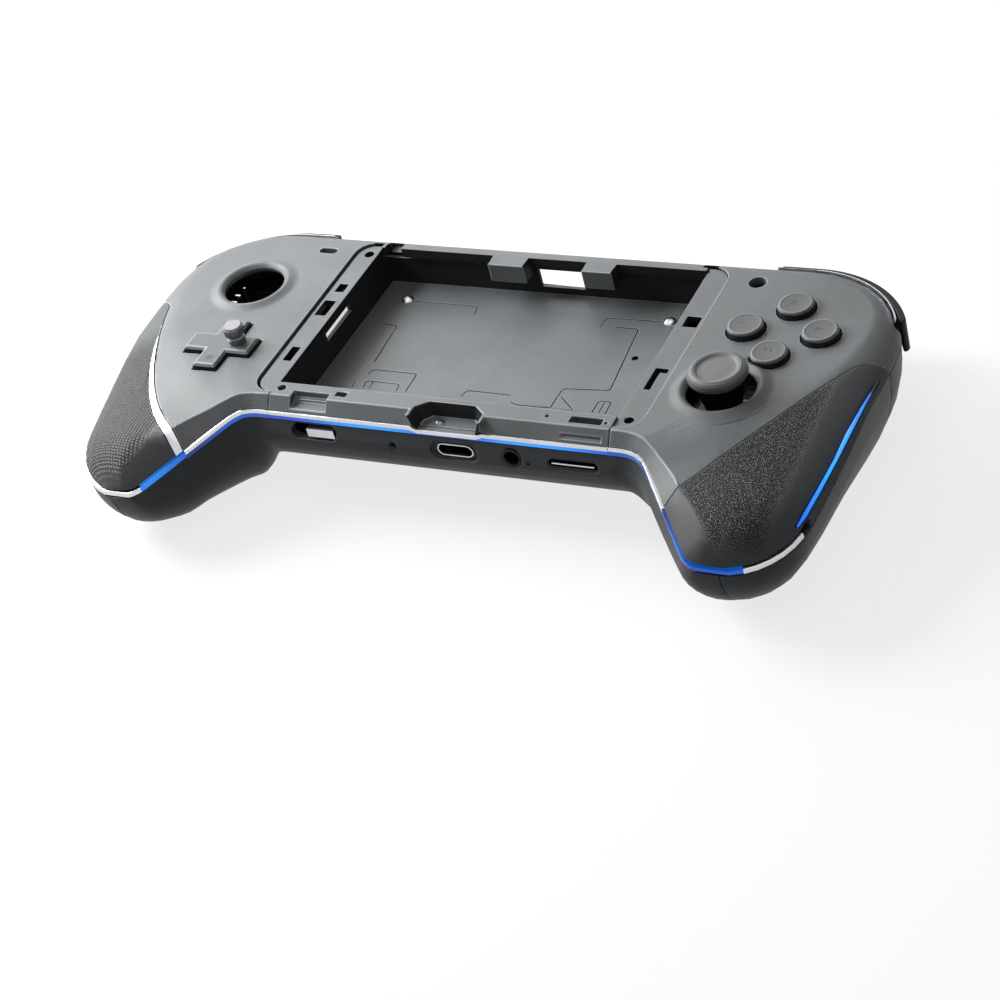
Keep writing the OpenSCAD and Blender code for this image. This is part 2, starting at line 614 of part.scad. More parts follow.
// The panel with the ports ends near the rail's seams, and above the curve of the front wall
module panel_space() {
    block(-rail_half + 0.3, rail_half - 0.3, front_y - 4, module_front - 0.1, plate_z - 14, part_h + 1);
}
module middle_form(d = 0) {
    loft(concat([for (i = [3:-1:1]) flip(lower_section(i, d))], [for (i = [0:3]) lower_section(i, d)]), 3);
}
module port_panel() {
    color("darkslategray") difference() {
        intersection() {
            middle_form();
            below_parting();
            panel_space();
        }
        middle_form(wall);
        port_holes();
    }
}
module rear_shell() {
    color("darkslategray") difference() {
        intersection() {
            lower_form();
            below_parting();
        }
        panel_space();
        difference() {
            lower_form(wall);
            shell_bosses();
            both_sides() trigger_box();
        }
        both_sides() {
            rear_grip_zone();
            trigger_zone();
            bumper_zone();
            trigger_pin_hole();
            at(bumper_pin) post(bumper_pin_r, bumper_low - 3.4, big);
            for (p = rear_screw) at(p) {
                post(1.2, 0, big);
                post(2.2, 0, plate_z - mid_t + 1.4);
            }
        }
        window_passage();
        for (p = floor_screw_p) at(p) post(0.7, floor_z - 4, floor_z);
        for (p = port_screw_p) at(p) post(0.7, port_board_z - 0.8, port_deck);
    }
}
// Everything that stands up inside the shell
module shell_bosses() {
    for (p = floor_screw_p) at(p) post(2, -1, floor_z - floor_t);
    both_sides() {
        for (p = rear_screw) at(p) post(2.6, -1, 17.2);
        at(bumper_pin) post(2.2, -1, bumper_low - 0.4);
    }
    for (p = port_screw_p) at(p) post(1.6, -1, port_board_z);
    for (x = [-5.4, 7.4], y = [-7.4, 7.4]) at(right_stick + [x, y]) post(1.5, -1, stick_floor - 1);
    at(blade_p) post(2.4, -1, blade_z);
}
blade_p = left_stick + [-6.2, 0.2];
blade_z = 14;
module trigger_box() {
    z = bumper_low;
    along_x(trigger_x - trigger_w / 2 - 1.8, trigger_x + trigger_w / 2 + 1.8)
        polygon([[rear_y - 13.2, z - 5.8], [rear_y - 13.2, z + 0.3], [rear_y - 8, z + 0.3],
            [rear_y - 7.2, z - 2.6], [rear_y - 7.8, z - 5], [rear_y - 9.4, z - 5.8]]);
}
module trigger_pin_hole() {
    translate([trigger_x - trigger_w / 2 - 1.6, trigger_pin[0], trigger_pin[1]]) rotate([0, 90, 0])
        cylinder(r = trigger_pin_r, h = trigger_w + 3.2, $fn = fine);
}
rear_split = corner_c[0] + 8;
module rear_grip_zone(gap = 0) {
    block(rear_split + gap, half_w + 10, toe_y - 10, corner_c[1] - 3.4 - gap, -1, big);
}
module rear_grip(side) {
    color("darkslategray") on_side(side) difference() {
        intersection() {
            handle_lower();
            rear_grip_zone(seam_gap);
            below_parting();
        }
        handle_lower(wall);
    }
}
module grip(side) {
    color("black") on_side(side) difference() {
        intersection() {
            handle_upper();
            translate([0, 0, -1]) linear_extrude(big) grip_plan(side, seam_gap);
        }
        handle_upper(wall);
        below_parting();
        rim_channel();
        if (side > 0) bar_sweep(bar_r + 0.1);
        if (side < 0) translate([0, 0, -1]) linear_extrude(big) seam_trim_plan(0.1);
    }
}
module left_seam_trim() {
    color("silver") on_side(-1) difference() {
        intersection() {
            handle_upper();
            translate([0, 0, -1]) linear_extrude(big) seam_trim_plan();
            translate([0, 0, -1]) linear_extrude(big) grip_plan(-1, seam_gap);
        }
        handle_upper(1.6);
        below_parting();
        rim_channel();
    }
}
// The light bar lies along the flank, on the surface of the right grip
bar_r = 0.65;
function bar_point(i, k) = upper_section(i, 0)[k];
bar_path = [for (i = [flank_i + 1:19]) let (a = bar_point(i, 10), b = bar_point(i, 9)) mix(a, b, 0.3)];
module bar_sweep(r) {
    n = len(bar_path) - 1;
    loft([for (i = [0:n]) let (t = unit(bar_path[min(n, i + 1)] - bar_path[max(0, i - 1)]),
            u = unit(cross(t, [0, 0, 1])), v = cross(u, t), s = r * (i == 0 || i == n ? 0.4 : 1))
        [for (a = [0:45:315]) bar_path[i] + u * s * cos(a) + v * s * sin(a)]]);
}
module right_light_bar() {
    color("deepskyblue") bar_sweep(bar_r);
}

// Bumpers, triggers and their pins
module bumper(side) {
    color("black") on_side(side) difference() {
        union() {
            translate([0, 0, bumper_low]) linear_extrude(bumper_top - bumper_low) polygon(concat(
                [[bumper_x0, rear_y - 0.1], [bumper_x0, rear_y + 1], [bumper_x0 + 0.5, rear_y + 1.5]],
                arc(corner_c, bumper_out, 90, bumper_a + 2, 18),
                arc(corner_c, bumper_in + 0.8, bumper_a, bumper_a, 1),
                arc(corner_c, bumper_in, bumper_a + 0.6, 90, 18)));
            at(bumper_pin) post(1.8, bumper_low, bumper_top - 0.6);
            block(bumper_pin[0] - 1.2, bumper_pin[0] + 1.2, bumper_pin[1], rear_y + 0.4,
                bumper_low, bumper_top - 0.6);
        }
        at(bumper_pin) post(bumper_pin_r + running, 0, big);
    }
}
// The bright line between the cover and a bumper
function bumper_trim_profile() = [[zone_r + 0.02, bumper_top + 0.05], [zone_r + 0.36, bumper_top + 0.05],
    [zone_r + 0.36, zone_top - 0.25], [zone_r + 0.1, zone_top - 0.05], [zone_r + 0.02, zone_top - 0.05]];
module bumper_trim(side) {
    color("silver") on_side(side) {
        at(corner_c) rotate([0, 0, bumper_a]) rotate_extrude(angle = 90 - bumper_a, $fn = 96)
            polygon(bumper_trim_profile());
        along_x(bumper_x0, corner_c[0] + tiny) translate([corner_c[1], 0]) polygon(bumper_trim_profile());
    }
}
module bumper_pin_part(side) {
    color("silver") on_side(side) at(bumper_pin) post(bumper_pin_r, bumper_low - 3.4, plate_z - 0.9);
}
module trigger_profile() {
    y = rear_y;
    z = trigger_pin[1];
    polygon([[y - 9, z + 2.1], [y + 1.5, z + 2.1], [y + 5, z + 1], [y + trigger_proud - 0.6, z - 2],
        [y + trigger_proud, z - 5.6], [y + trigger_proud - 0.7, z - 8.8], [y + 5.2, z - 11.2],
        [y + 2.6, z - 12.4], [y + 1.6, z - 11.4], [y + 2.6, z - 9.2], [y + 2.4, z - 6.6],
        [y + 0.8, z - 4.2], [y - 2.5, z - 2.4], [y - 9, z - 2.1]]);
}
module trigger(side) {
    color("black") on_side(side) difference() {
        union() {
            along_x(trigger_x - trigger_w / 2, trigger_x + trigger_w / 2) trigger_profile();
            translate([trigger_x - trigger_w / 2, trigger_pin[0], trigger_pin[1]]) rotate([0, 90, 0])
                cylinder(r = 2.2, h = trigger_w, $fn = fine);
        }
        translate([0, trigger_pin[0], trigger_pin[1]]) rotate([0, 90, 0])
            cylinder(r = trigger_pin_r + running, h = big, $fn = fine);
    }
}
module trigger_pin_part(side) {
    color("silver") on_side(side) translate([trigger_x - trigger_w / 2 - 1.6, trigger_pin[0], trigger_pin[1]])
        rotate([0, 90, 0]) cylinder(r = trigger_pin_r, h = trigger_w + 3.2, $fn = fine);
}

// Direction pad on its ball, with the thumb post screwed into its right arm
pad_top = plate_z + pad_proud;
pad_pivot_z = 25.6;
pad_ball_r = 1.5;
thumb_p = pad_c + [4.3, 0.6];
module pad_arm_shape(x, y) {
    hull() {
        translate([-x, -y, flange_top - 0.9]) cube([2 * x, 2 * y, pad_top - 0.6 - flange_top + 0.9]);
        translate([-x + 0.6, -y + 0.6, pad_top - 0.1]) cube([2 * x - 1.2, 2 * y - 1.2, 0.1]);
    }
}
module direction_pad() {
    color("dimgray") at(pad_c) difference() {
        union() {
            pad_arm_shape(pad_arm, pad_w / 2);
            pad_arm_shape(pad_w / 2, pad_arm);
            post(pad_arm + 1, flange_top - 1.8, flange_top - 0.8);
            post(pad_arm / 2, flange_top - 1.8, flange_top);
        }
        translate([0, 0, pad_pivot_z]) sphere(pad_ball_r + running, $fn = fine);
        post(pad_ball_r + running, 0, pad_pivot_z);
        at(thumb_p - pad_c) post(0.9, pad_top - 2, big);
    }
}
module pad_pivot() {
    color("silver") at(pad_c) {
        translate([0, 0, pad_pivot_z]) sphere(pad_ball_r, $fn = fine);
        post(1, pad_pivot_z - 2.6, pad_pivot_z);
    }
}
module thumb_post() {
    color("silver") at(thumb_p) {
        post(0.88, pad_top - 1.8, pad_top + 1);
        translate([0, 0, pad_top]) rotate_extrude($fn = fine) polygon([[0, 0], [1.9, 0], [1.9, 1.5],
            [1.75, 1.7], [1.75, 2], [2.15, 2.4], [2.15, 4.4], [1.95, 4.7], [0, 4.7]]);
    }
}
// One face button; the flange under the cover keeps it in
module button(k) {
    top = plate_z + button_proud;
    color("dimgray") at(button_c(k)) rotate_extrude($fn = fine) polygon([[0, flange_top - 1.1],
        [button_r + 0.7, flange_top - 1.1], [button_r + 0.7, flange_top], [button_r, flange_top],
        [button_r, top - 0.6], [button_r - 0.18, top - 0.25], [button_r - 0.6, top],
        [button_r - 1.2, top - 0.12], [0, top - 0.22]]);
}
dome_top = flange_top - 1.1 - button_travel - 0.15;
module membrane_dome(r) {
    rotate_extrude($fn = fine) polygon([[0, dome_top - 0.8], [0, dome_top], [r * 0.55, dome_top], [r, 22.2],
        [r, 21.9], [r * 0.7, 21.9], [r * 0.45, dome_top - 0.8]]);
}
module sheet_with_domes(c, half_x, half_y, spots, r, screws) {
    difference() {
        union() {
            at(c) block(-half_x, half_x, -half_y, half_y, board_z + board_t, 22);
            for (p = spots) at(c + p) membrane_dome(r);
        }
        for (p = spots) at(c + p) post(r * 0.6, 0, 21.95);
        for (p = screws) at(p) post(1.75, 0, big);
    }
}
module button_membrane() {
    color("gainsboro") sheet_with_domes(diamond, 11.6, 11.6,
        [for (k = [0:3]) buttons[k][1] * button_spread], 3, button_screws());
}
module pad_membrane() {
    color("gainsboro") difference() {
        sheet_with_domes(pad_c, 9.2, 10.6, [for (k = [0:3]) buttons[k][1] * 6.2], 2.4, pad_screws());
        at(pad_c) post(2.6, 0, big);
    }
}
module board(c, half_x, half_y, screws) {
    difference() {
        at(c) block(-half_x, half_x, -half_y, half_y, board_z, board_z + board_t);
        for (p = screws) at(p) post(0.9, 0, big);
    }
}
module pad_board() {
    color("darkgreen") {
        board(pad_c, 9.4, 10.8, pad_screws());
        at(pad_c) difference() {
            post(2.2, board_z + board_t - tiny, pad_pivot_z - 1.3);
            post(1.3, board_z + board_t, big);
        }
    }
}
module button_board() {
    color("darkgreen") board(diamond, 11.8, 11.8, button_screws());
}
module board_screws() {
    color("silver") for (p = concat(pad_screws(), button_screws())) at(p) {
        post(1.4, board_z - 1, board_z);
        post(0.68, board_z - tiny, board_z + board_t + 3.5);
    }
}

// Right stick: housing, yoke, shaft and cap
stick_pivot = 21.5;
stick_half = 7.4;
stick_floor = 16.2;
module stick_housing() {
    color("silver") at(right_stick) difference() {
        block(-stick_half, stick_half, -stick_half, stick_half, stick_floor, 23.6);
        translate([0, 0, stick_floor + 0.7]) linear_extrude(big) square(2 * stick_half - 1.4, center = true);
        rotate([0, 90, 0]) translate([-stick_pivot, 0, -10]) cylinder(r = 0.95, h = 20, $fn = fine);
    }
}
module stick_board() {
    color("darkgreen") at(right_stick)
        block(-stick_half + 0.4, stick_half + 1.8, -9, 9, stick_floor - 1, stick_floor);
}
module stick_yoke() {
    color("ivory") at(right_stick) {
        for (x = [-stick_half + 0.1, stick_half - 1.8])
            translate([x, 0, stick_pivot]) rotate([0, 90, 0]) cylinder(r = 0.9, h = 1.7, $fn = fine);
        difference() {
            block(-stick_half + 1.1, stick_half - 1.1, -4.4, 4.4, stick_pivot - 1.6, stick_pivot + 1.6);
            block(-stick_half + 2.9, stick_half - 2.9, -3.4, 3.4, 0, big);
            translate([0, 5, stick_pivot]) rotate([90, 0, 0]) cylinder(r = 0.85, h = 10, $fn = fine);
        }
    }
}
cap_z = plate_z + 2.9;
module stick_shaft() {
    color("dimgray") at(right_stick) {
        translate([0, 4.3, stick_pivot]) rotate([90, 0, 0]) cylinder(r = 0.8, h = 8.6, $fn = fine);
        rotate_extrude($fn = fine) polygon([[0, stick_pivot - 2.6], [1.6, stick_pivot - 2.2],
            [2.2, stick_pivot], [2.2, stick_pivot + 2.2], [3.3, stick_pivot + 2.8],
            [4.1, stick_pivot + 4.4], [4.2, cap_z - 1.4], [3.8, cap_z - 0.2],
            [1.5, cap_z - 0.2], [1.5, cap_z + 1.6], [0, cap_z + 1.6]]);
    }
}
module stick_cap() {
    color("dimgray") at(right_stick) rotate_extrude($fn = fine) polygon([
        [1.55, cap_z - 0.1], [cap_r - 1, cap_z - 0.1], [cap_r - 0.2, cap_z + 0.6],
        [cap_r, cap_z + 1.1], [cap_r, cap_z + 2], [cap_r - 0.3, cap_z + 2.6],
        [cap_r - 1, cap_z + 2.95], [cap_r - 1.5, cap_z + 2.9], [cap_r - 2.2, cap_z + 2.5], [0, cap_z + 2.2],
        [0, cap_z + 1.65], [1.55, cap_z + 1.65]]);
}
// The bare contact blade left in the empty stick well
module stick_contact() {
    color("gainsboro") at(blade_p) {
        block(-2, 2, -2.6, 2.6, blade_z, blade_z + 0.6);
        hull() {
            translate([-0.3, -1.6, blade_z + 0.5]) cube([0.6, 3.2, 0.1]);
            translate([2, 0.2, plate_z - 2]) cube([0.4, 0.8, 0.1]);
        }
    }
}

// Boards and modules behind the front wall
port_board_z = 15.6;
port_board_t = 1;
port_screw_p = [[-18, front_y + 6.2], [12, front_y + 11], [-2.6, front_y + 11]];
port_deck = port_board_z + port_board_t;
module port_board() {
    color("darkgreen") difference() {
        block(-39.5, 40.4, module_front + 1.2, front_y + 13.4, port_board_z, port_deck);
        for (p = port_screw_p) at(p) post(0.8, 0, big);
    }
}
module port_screws() {
    color("silver") for (p = port_screw_p) at(p) {
        post(1.5, port_deck, port_deck + 0.8);
        post(0.7, port_board_z - 0.8, port_deck + tiny);
    }
}
module charging_socket() {
    color("silver") difference() {
        union() {
            translate([socket_x, front_y + 0.6, port_z]) rotate([-90, 0, 0])
                linear_extrude(6.6) slot_shape(socket_w, socket_h);
            block(socket_x - 3.6, socket_x + 3.6, module_front, front_y + 7.1, port_deck, port_z - 1.4);
        }
        translate([socket_x, front_y, port_z]) rotate([-90, 0, 0])
            linear_extrude(6.4) slot_shape(socket_w - 0.6, socket_h - 0.6);
    }
    color("black") block(socket_x - 3.2, socket_x + 3.2, front_y + 1.4, front_y + 6.6,
        port_z - 0.35, port_z + 0.35);
}
bore_end = front_y + jack_len - 0.8;
module headphone_jack() {
    color("black") difference() {
        union() {
            block(jack_x - 3, jack_x + 3, module_front, front_y + jack_len, port_deck, port_z + 2.4);
            translate([jack_x, front_wall_y + nose_in, port_z]) rotate([-90, 0, 0])
                cylinder(r = nose_r, h = module_front - front_wall_y, $fn = fine);
        }
        translate([jack_x, front_wall_y, port_z]) rotate([-90, 0, 0])
            cylinder(r = jack_r, h = bore_end - front_wall_y, $fn = fine);
    }
}
module card_reader() {
    color("silver") difference() {
        block(card_x - card_w / 2 - 1.3, card_x + card_w / 2 + 1.3, module_front, front_y + card_len,
            port_deck, port_z + 0.9);
        block(card_x - card_w / 2, card_x + card_w / 2, front_y, front_y + card_len - 0.6,
            port_z - 0.9, port_z + 0.5);
    }
}
slider_w = 6.9;
slider_x = switch_x + switch_w / 2 - slider_w / 2 - 0.6;
module switch_body() {
    color("black") difference() {
        block(switch_x - 7.4, switch_x + 7.4, module_front, front_y + 6.6, port_deck, port_z + 3.1);
        block(switch_x - switch_w / 2, switch_x + switch_w / 2, front_y, front_y + 5.4,
            port_z - 0.7, port_z + 2.5);
    }
}
module switch_slider() {
    color("silver") {
        translate([slider_x, front_y - 0.9, port_z + 0.9]) rotate([-90, 0, 0])
            linear_extrude(4.5) square([slider_w, 2.2], center = true);
        block(slider_x - 2, slider_x + 2, front_y + 3.5, front_y + 5, port_z - 0.4, port_z + 2.2);
    }
}
module side_contact() {
    color("white") block(-bay_half - side_t - 0.5, -bay_half - side_t, rear_y - 36.5, rear_y - 22.9,
        plate_z - 5.6, plate_z - 2.5);
}
module dome_screw(r, z, depth, rod) {
    difference() {
        union() {
            intersection() {
                translate([0, 0, z - r * 0.55]) sphere(r * 1.14, $fn = 48);
                post(r, z, z + r);
            }
            post(rod, z - depth, z + tiny);
        }
        translate([0, 0, z + r * 0.22]) block(-r * 0.6, r * 0.6, -0.12, 0.12, 0, 2);
        translate([0, 0, z + r * 0.22]) block(-0.12, 0.12, -r * 0.6, r * 0.6, 0, 2);
    }
}
module floor_screws() {
    color("silver") for (p = floor_screw_p) at(p) dome_screw(1.5, floor_z, 3.6, 0.68);
}
module notch_screw() {
    color("silver") at(notch_screw_p) dome_screw(1.2, plate_z - 3.6, 1.2, 0.75);
}
module rear_screws() {
    color("silver") both_sides() for (p = rear_screw) at(p) {
        post(2, plate_z - mid_t + 0.2, plate_z - mid_t + 1.4);
        post(0.95, plate_z - mid_t + 1.3, cover_under - 3);
    }
}

front_cover();
front_rail();
bay_frame();
rear_shell();
port_panel();
grip(-1);  // left_grip
grip(1);  // right_grip
rear_grip(-1);  // left_rear_grip
rear_grip(1);  // right_rear_grip
left_seam_trim();
front_trim();
front_light();
knee_trim(-1);  // left_knee_trim
knee_trim(1);  // right_knee_trim
knee_light(-1);  // left_knee_light
knee_light(1);  // right_knee_light
tip_light(-1);  // left_tip_light
tip_light(1);  // right_tip_light
tip_trim(-1);  // left_tip_trim
tip_trim(1);  // right_tip_trim
right_light_bar();
bumper(-1);  // left_bumper
bumper(1);  // right_bumper
bumper_trim(-1);  // left_bumper_trim
bumper_trim(1);  // right_bumper_trim
bumper_pin_part(-1);  // left_bumper_pin
bumper_pin_part(1);  // right_bumper_pin
trigger(-1);  // left_trigger
trigger(1);  // right_trigger
trigger_pin_part(-1);  // left_trigger_pin
trigger_pin_part(1);  // right_trigger_pin
direction_pad();
pad_pivot();
thumb_post();
button(0);  // rear_button
button(1);  // front_button
button(2);  // inner_button
button(3);  // outer_button
pad_board();
button_board();
board_screws();
pad_membrane();
button_membrane();
stick_board();
stick_housing();
stick_yoke();
stick_shaft();
stick_cap();
stick_contact();
port_board();
port_screws();
charging_socket();
headphone_jack();
card_reader();
switch_body();
switch_slider();
side_contact();
floor_screws();
notch_screw();
rear_screws();
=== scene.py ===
import json
import math

import bpy
import bmesh
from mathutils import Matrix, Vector

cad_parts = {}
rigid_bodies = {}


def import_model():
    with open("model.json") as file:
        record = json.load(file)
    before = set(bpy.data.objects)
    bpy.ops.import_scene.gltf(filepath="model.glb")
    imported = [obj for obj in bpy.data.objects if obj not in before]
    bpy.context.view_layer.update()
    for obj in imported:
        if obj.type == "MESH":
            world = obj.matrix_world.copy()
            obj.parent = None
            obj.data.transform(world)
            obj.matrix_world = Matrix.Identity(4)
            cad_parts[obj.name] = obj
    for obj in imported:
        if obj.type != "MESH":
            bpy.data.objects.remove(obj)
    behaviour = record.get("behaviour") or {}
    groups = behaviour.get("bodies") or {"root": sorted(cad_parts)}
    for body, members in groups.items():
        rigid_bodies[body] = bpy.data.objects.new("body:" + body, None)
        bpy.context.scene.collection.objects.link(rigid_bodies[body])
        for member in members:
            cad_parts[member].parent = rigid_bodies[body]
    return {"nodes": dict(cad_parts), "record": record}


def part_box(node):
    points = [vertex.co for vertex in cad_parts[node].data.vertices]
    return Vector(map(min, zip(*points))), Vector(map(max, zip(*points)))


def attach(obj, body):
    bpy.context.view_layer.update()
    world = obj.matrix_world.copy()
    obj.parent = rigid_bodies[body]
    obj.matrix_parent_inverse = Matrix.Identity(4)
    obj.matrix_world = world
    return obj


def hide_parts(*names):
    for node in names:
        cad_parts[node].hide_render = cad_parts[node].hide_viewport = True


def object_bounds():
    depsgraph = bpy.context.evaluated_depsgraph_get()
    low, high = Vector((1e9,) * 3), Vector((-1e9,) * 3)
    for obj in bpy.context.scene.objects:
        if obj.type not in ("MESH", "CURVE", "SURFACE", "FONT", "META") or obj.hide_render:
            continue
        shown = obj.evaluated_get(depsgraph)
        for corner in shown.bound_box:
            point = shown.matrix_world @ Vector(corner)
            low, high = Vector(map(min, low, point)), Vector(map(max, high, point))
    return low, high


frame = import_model()
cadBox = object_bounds()
mm = 0.001
bpy.ops.object.select_all(action="DESELECT")

# Camera, at the photograph's viewing angle
cameraView = {
    "placeMm": (265.76, -385.71, 348.17), "turnDegrees": (51.2126, 12.8312, 24.9563),
    "lens": 92.2, "sensor": 36, "near": 0.01, "far": 20,
}
bpy.ops.object.camera_add(
    location=[c * mm for c in cameraView["placeMm"]],
    rotation=[math.radians(a) for a in cameraView["turnDegrees"]],
)
camera = bpy.context.object
camera.name = "studioCamera"
camera.data.lens = cameraView["lens"]
camera.data.sensor_width = cameraView["sensor"]
camera.data.clip_start = cameraView["near"]
camera.data.clip_end = cameraView["far"]
bpy.context.scene.camera = camera
print("camera placed")


# Finishes: one entry for each look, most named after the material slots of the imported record
finishes = {
    "plate": {
        "dark": (0.1, 0.107, 0.112), "pale": (0.178, 0.19, 0.198),
        "rough": 0.42, "grain": 4200, "bump": 0.7, "shine": 0.3,
    },
    "shell_black": {
        "dark": (0.06, 0.064, 0.068), "pale": (0.082, 0.087, 0.092),
        "rough": 0.45, "grain": 4200, "bump": 0.4, "shine": 0.12,
    },
    "grip_rubber": {
        "dark": (0.08, 0.084, 0.088), "pale": (0.11, 0.116, 0.121),
        "rough": 0.45, "grain": 4200, "bump": 0.35, "shine": 0.14,
    },
    "bright_trim": {
        "dark": (0.5, 0.51, 0.53), "pale": (0.66, 0.67, 0.69),
        "rough": 0.2, "grain": 3000, "bump": 0.05, "metal": 1,
    },
    "gloss_black": {
        "dark": (0.01, 0.01, 0.011), "pale": (0.015, 0.015, 0.017),
        "rough": 0.3, "grain": 4000, "bump": 0.06, "shine": 0.12,
    },
    "control_grey": {
        "dark": (0.1, 0.106, 0.111), "pale": (0.135, 0.143, 0.15),
        "rough": 0.42, "grain": 4200, "bump": 0.5, "shine": 0.25,
    },
    "stick_rubber": {
        "dark": (0.12, 0.127, 0.133), "pale": (0.155, 0.163, 0.17),
        "rough": 0.5, "grain": 4200, "bump": 0.5, "shine": 0.4,
    },
    "inner_white": {
        "dark": (0.7, 0.71, 0.72), "pale": (0.8, 0.8, 0.81),
        "rough": 0.45, "grain": 5000, "bump": 0.05,
    },
    "membrane": {
        "dark": (0.5, 0.52, 0.54), "pale": (0.6, 0.62, 0.64),
        "rough": 0.6, "grain": 5000, "bump": 0.05,
    },
    "board_green": {
        "dark": (0.008, 0.03, 0.018), "pale": (0.012, 0.045, 0.026),
        "rough": 0.4, "grain": 3000, "bump": 0.05,
    },
    "steel": {
        "dark": (0.5, 0.5, 0.52), "pale": (0.62, 0.63, 0.65),
        "rough": 0.26, "grain": 3000, "bump": 0.05, "metal": 1,
    },
    "darkSteel": {
        "dark": (0.1, 0.103, 0.107), "pale": (0.2, 0.205, 0.21),
        "rough": 0.42, "grain": 3000, "bump": 0.08, "metal": 1,
    },
    # a pale strip that glows faintly though it is no lamp: painted light
    "paleStripPaintedGlow": {
        "dark": (0.78, 0.79, 0.81), "pale": (0.85, 0.86, 0.88),
        "rough": 0.4, "grain": 3000, "bump": 0.03, "lit": 0.75,
    },
    # painted shade: a near black for walls, grooves and sides that lie in shade
    "innerPaintedShade": {
        "dark": (0.018, 0.019, 0.021), "pale": (0.026, 0.027, 0.03),
        "rough": 0.55, "grain": 5200, "bump": 0.2, "shine": 0.1,
    },
}


def newGroup(name, inputs, outputs):
    # inputs are (label, kind) pairs, the outputs are all floats
    group = bpy.data.node_groups.new(name, "ShaderNodeTree")
    for label, kind in inputs:
        group.interface.new_socket(
            name=label, in_out="INPUT", socket_type="NodeSocket" + kind)
    for label in outputs:
        group.interface.new_socket(
            name=label, in_out="OUTPUT", socket_type="NodeSocketFloat")
    return group, group.nodes.new("NodeGroupInput"), group.nodes.new("NodeGroupOutput")


def feed(tree, socket, value):
    # a number or a tuple is set on the socket, and another node's output is linked to it
    if isinstance(value, (int, float, tuple)):
        socket.default_value = value
    else:
        tree.links.new(value, socket)


def mathNode(tree, operation, *values):
    node = tree.nodes.new("ShaderNodeMath")
    node.operation = operation
    for socket, value in zip(node.inputs, values):
        feed(tree, socket, value)
    return node.outputs[0]


def vectorNode(tree, operation, *values):
    node = tree.nodes.new("ShaderNodeVectorMath")
    node.operation = operation
    for socket, value in zip(node.inputs, values):
        feed(tree, socket, value)
    return node.outputs["Value" if operation == "DOT_PRODUCT" else "Vector"]


def noiseNode(tree, vector, scale, detail=2):
    node = tree.nodes.new("ShaderNodeTexNoise")
    node.inputs["Detail"].default_value = detail
    feed(tree, node.inputs["Vector"], vector)
    feed(tree, node.inputs["Scale"], scale)
    return node


def rampNode(tree, value, low=0.0, high=1.0, kind="SMOOTHSTEP"):
    # 0 at low and 1 at high
    node = tree.nodes.new("ShaderNodeMapRange")
    node.interpolation_type = kind
    node.inputs["From Min"].default_value = low
    node.inputs["From Max"].default_value = high
    feed(tree, node.inputs["Value"], value)
    return node.outputs["Result"]


def mixNode(tree, factor, first, second):
    # from the first colour at 0 to the second at 1
    node = tree.nodes.new("ShaderNodeMix")
    node.data_type = "RGBA"
    feed(tree, node.inputs["Factor"], factor)
    feed(tree, node.inputs["A"], first)
    feed(tree, node.inputs["B"], second)
    return node.outputs["Result"]


def opaque(colour):
    return (*colour, 1)


grainLook = {
    "speckShare": 0.55, "driftShare": 0.45, "driftScale": 60, "driftDetail": 4,
    "contrast": 2.4, "shift": -0.7,
}


def makeGrainGroup():
    # fine moulded grain: its height, and a tone that drifts slowly over the surface
    group, start, end = newGroup(
        "fineGrain", [("Vector", "Vector"), ("Scale", "Float")], ["Height", "Tone"])
    place = start.outputs["Vector"]
    speck = noiseNode(group, place, start.outputs["Scale"]).outputs["Fac"]
    drift = noiseNode(group, place, grainLook["driftScale"], grainLook["driftDetail"])
    slow = mathNode(group, "MULTIPLY", drift.outputs["Fac"], grainLook["driftShare"])
    tone = mathNode(group, "MULTIPLY_ADD", speck, grainLook["speckShare"], slow)
    tone = mathNode(group, "MULTIPLY_ADD", tone, grainLook["contrast"], grainLook["shift"])
    group.links.new(speck, end.inputs["Height"])
    group.links.new(tone, end.inputs["Tone"])
    return group


wearLook = {"scale": 45, "detail": 6, "start": 0.5, "full": 0.75}


def makeWearGroup():
    # faint rubbed patches, as a mask
    group, start, end = newGroup(
        "softWear", [("Vector", "Vector"), ("Amount", "Float")], ["Mask"])
    patch = noiseNode(group, start.outputs["Vector"], wearLook["scale"], wearLook["detail"])
    rubbed = rampNode(
        group, patch.outputs["Fac"], wearLook["start"], wearLook["full"], "LINEAR")
    amount = mathNode(group, "MULTIPLY", rubbed, start.outputs["Amount"])
    group.links.new(amount, end.inputs["Mask"])
    return group


def makeFadeGroup():
    # 0 before a plane and 1 past it, smooth between, as wide as 1 over Direction's length
    group, start, end = newGroup(
        "fadeAcross",
        [("Vector", "Vector"), ("Origin", "Vector"), ("Direction", "Vector")], ["Mask"])
    away = vectorNode(group, "SUBTRACT", start.outputs["Vector"], start.outputs["Origin"])
    along = vectorNode(group, "DOT_PRODUCT", away, start.outputs["Direction"])
    group.links.new(rampNode(group, along), end.inputs["Mask"])
    return group


pebbleLook = {"bendScale": 900, "bend": 0.00022, "gap": 0.32}


def makePebbleGroup():
    # rounded pebbles with gaps between them, as a height
    group, start, end = newGroup(
        "pebbles", [("Vector", "Vector"), ("Scale", "Float")], ["Height"])
    bend = noiseNode(group, start.outputs["Vector"], pebbleLook["bendScale"])
    shift = vectorNode(group, "SCALE", bend.outputs["Color"])
    shift.node.inputs["Scale"].default_value = pebbleLook["bend"]
    cells = group.nodes.new("ShaderNodeTexVoronoi")
    cells.feature = "DISTANCE_TO_EDGE"
    feed(group, cells.inputs["Vector"],
         vectorNode(group, "ADD", start.outputs["Vector"], shift))
    feed(group, cells.inputs["Scale"], start.outputs["Scale"])
    height = rampNode(group, cells.outputs["Distance"], high=pebbleLook["gap"])
    group.links.new(height, end.inputs["Height"])
    return group


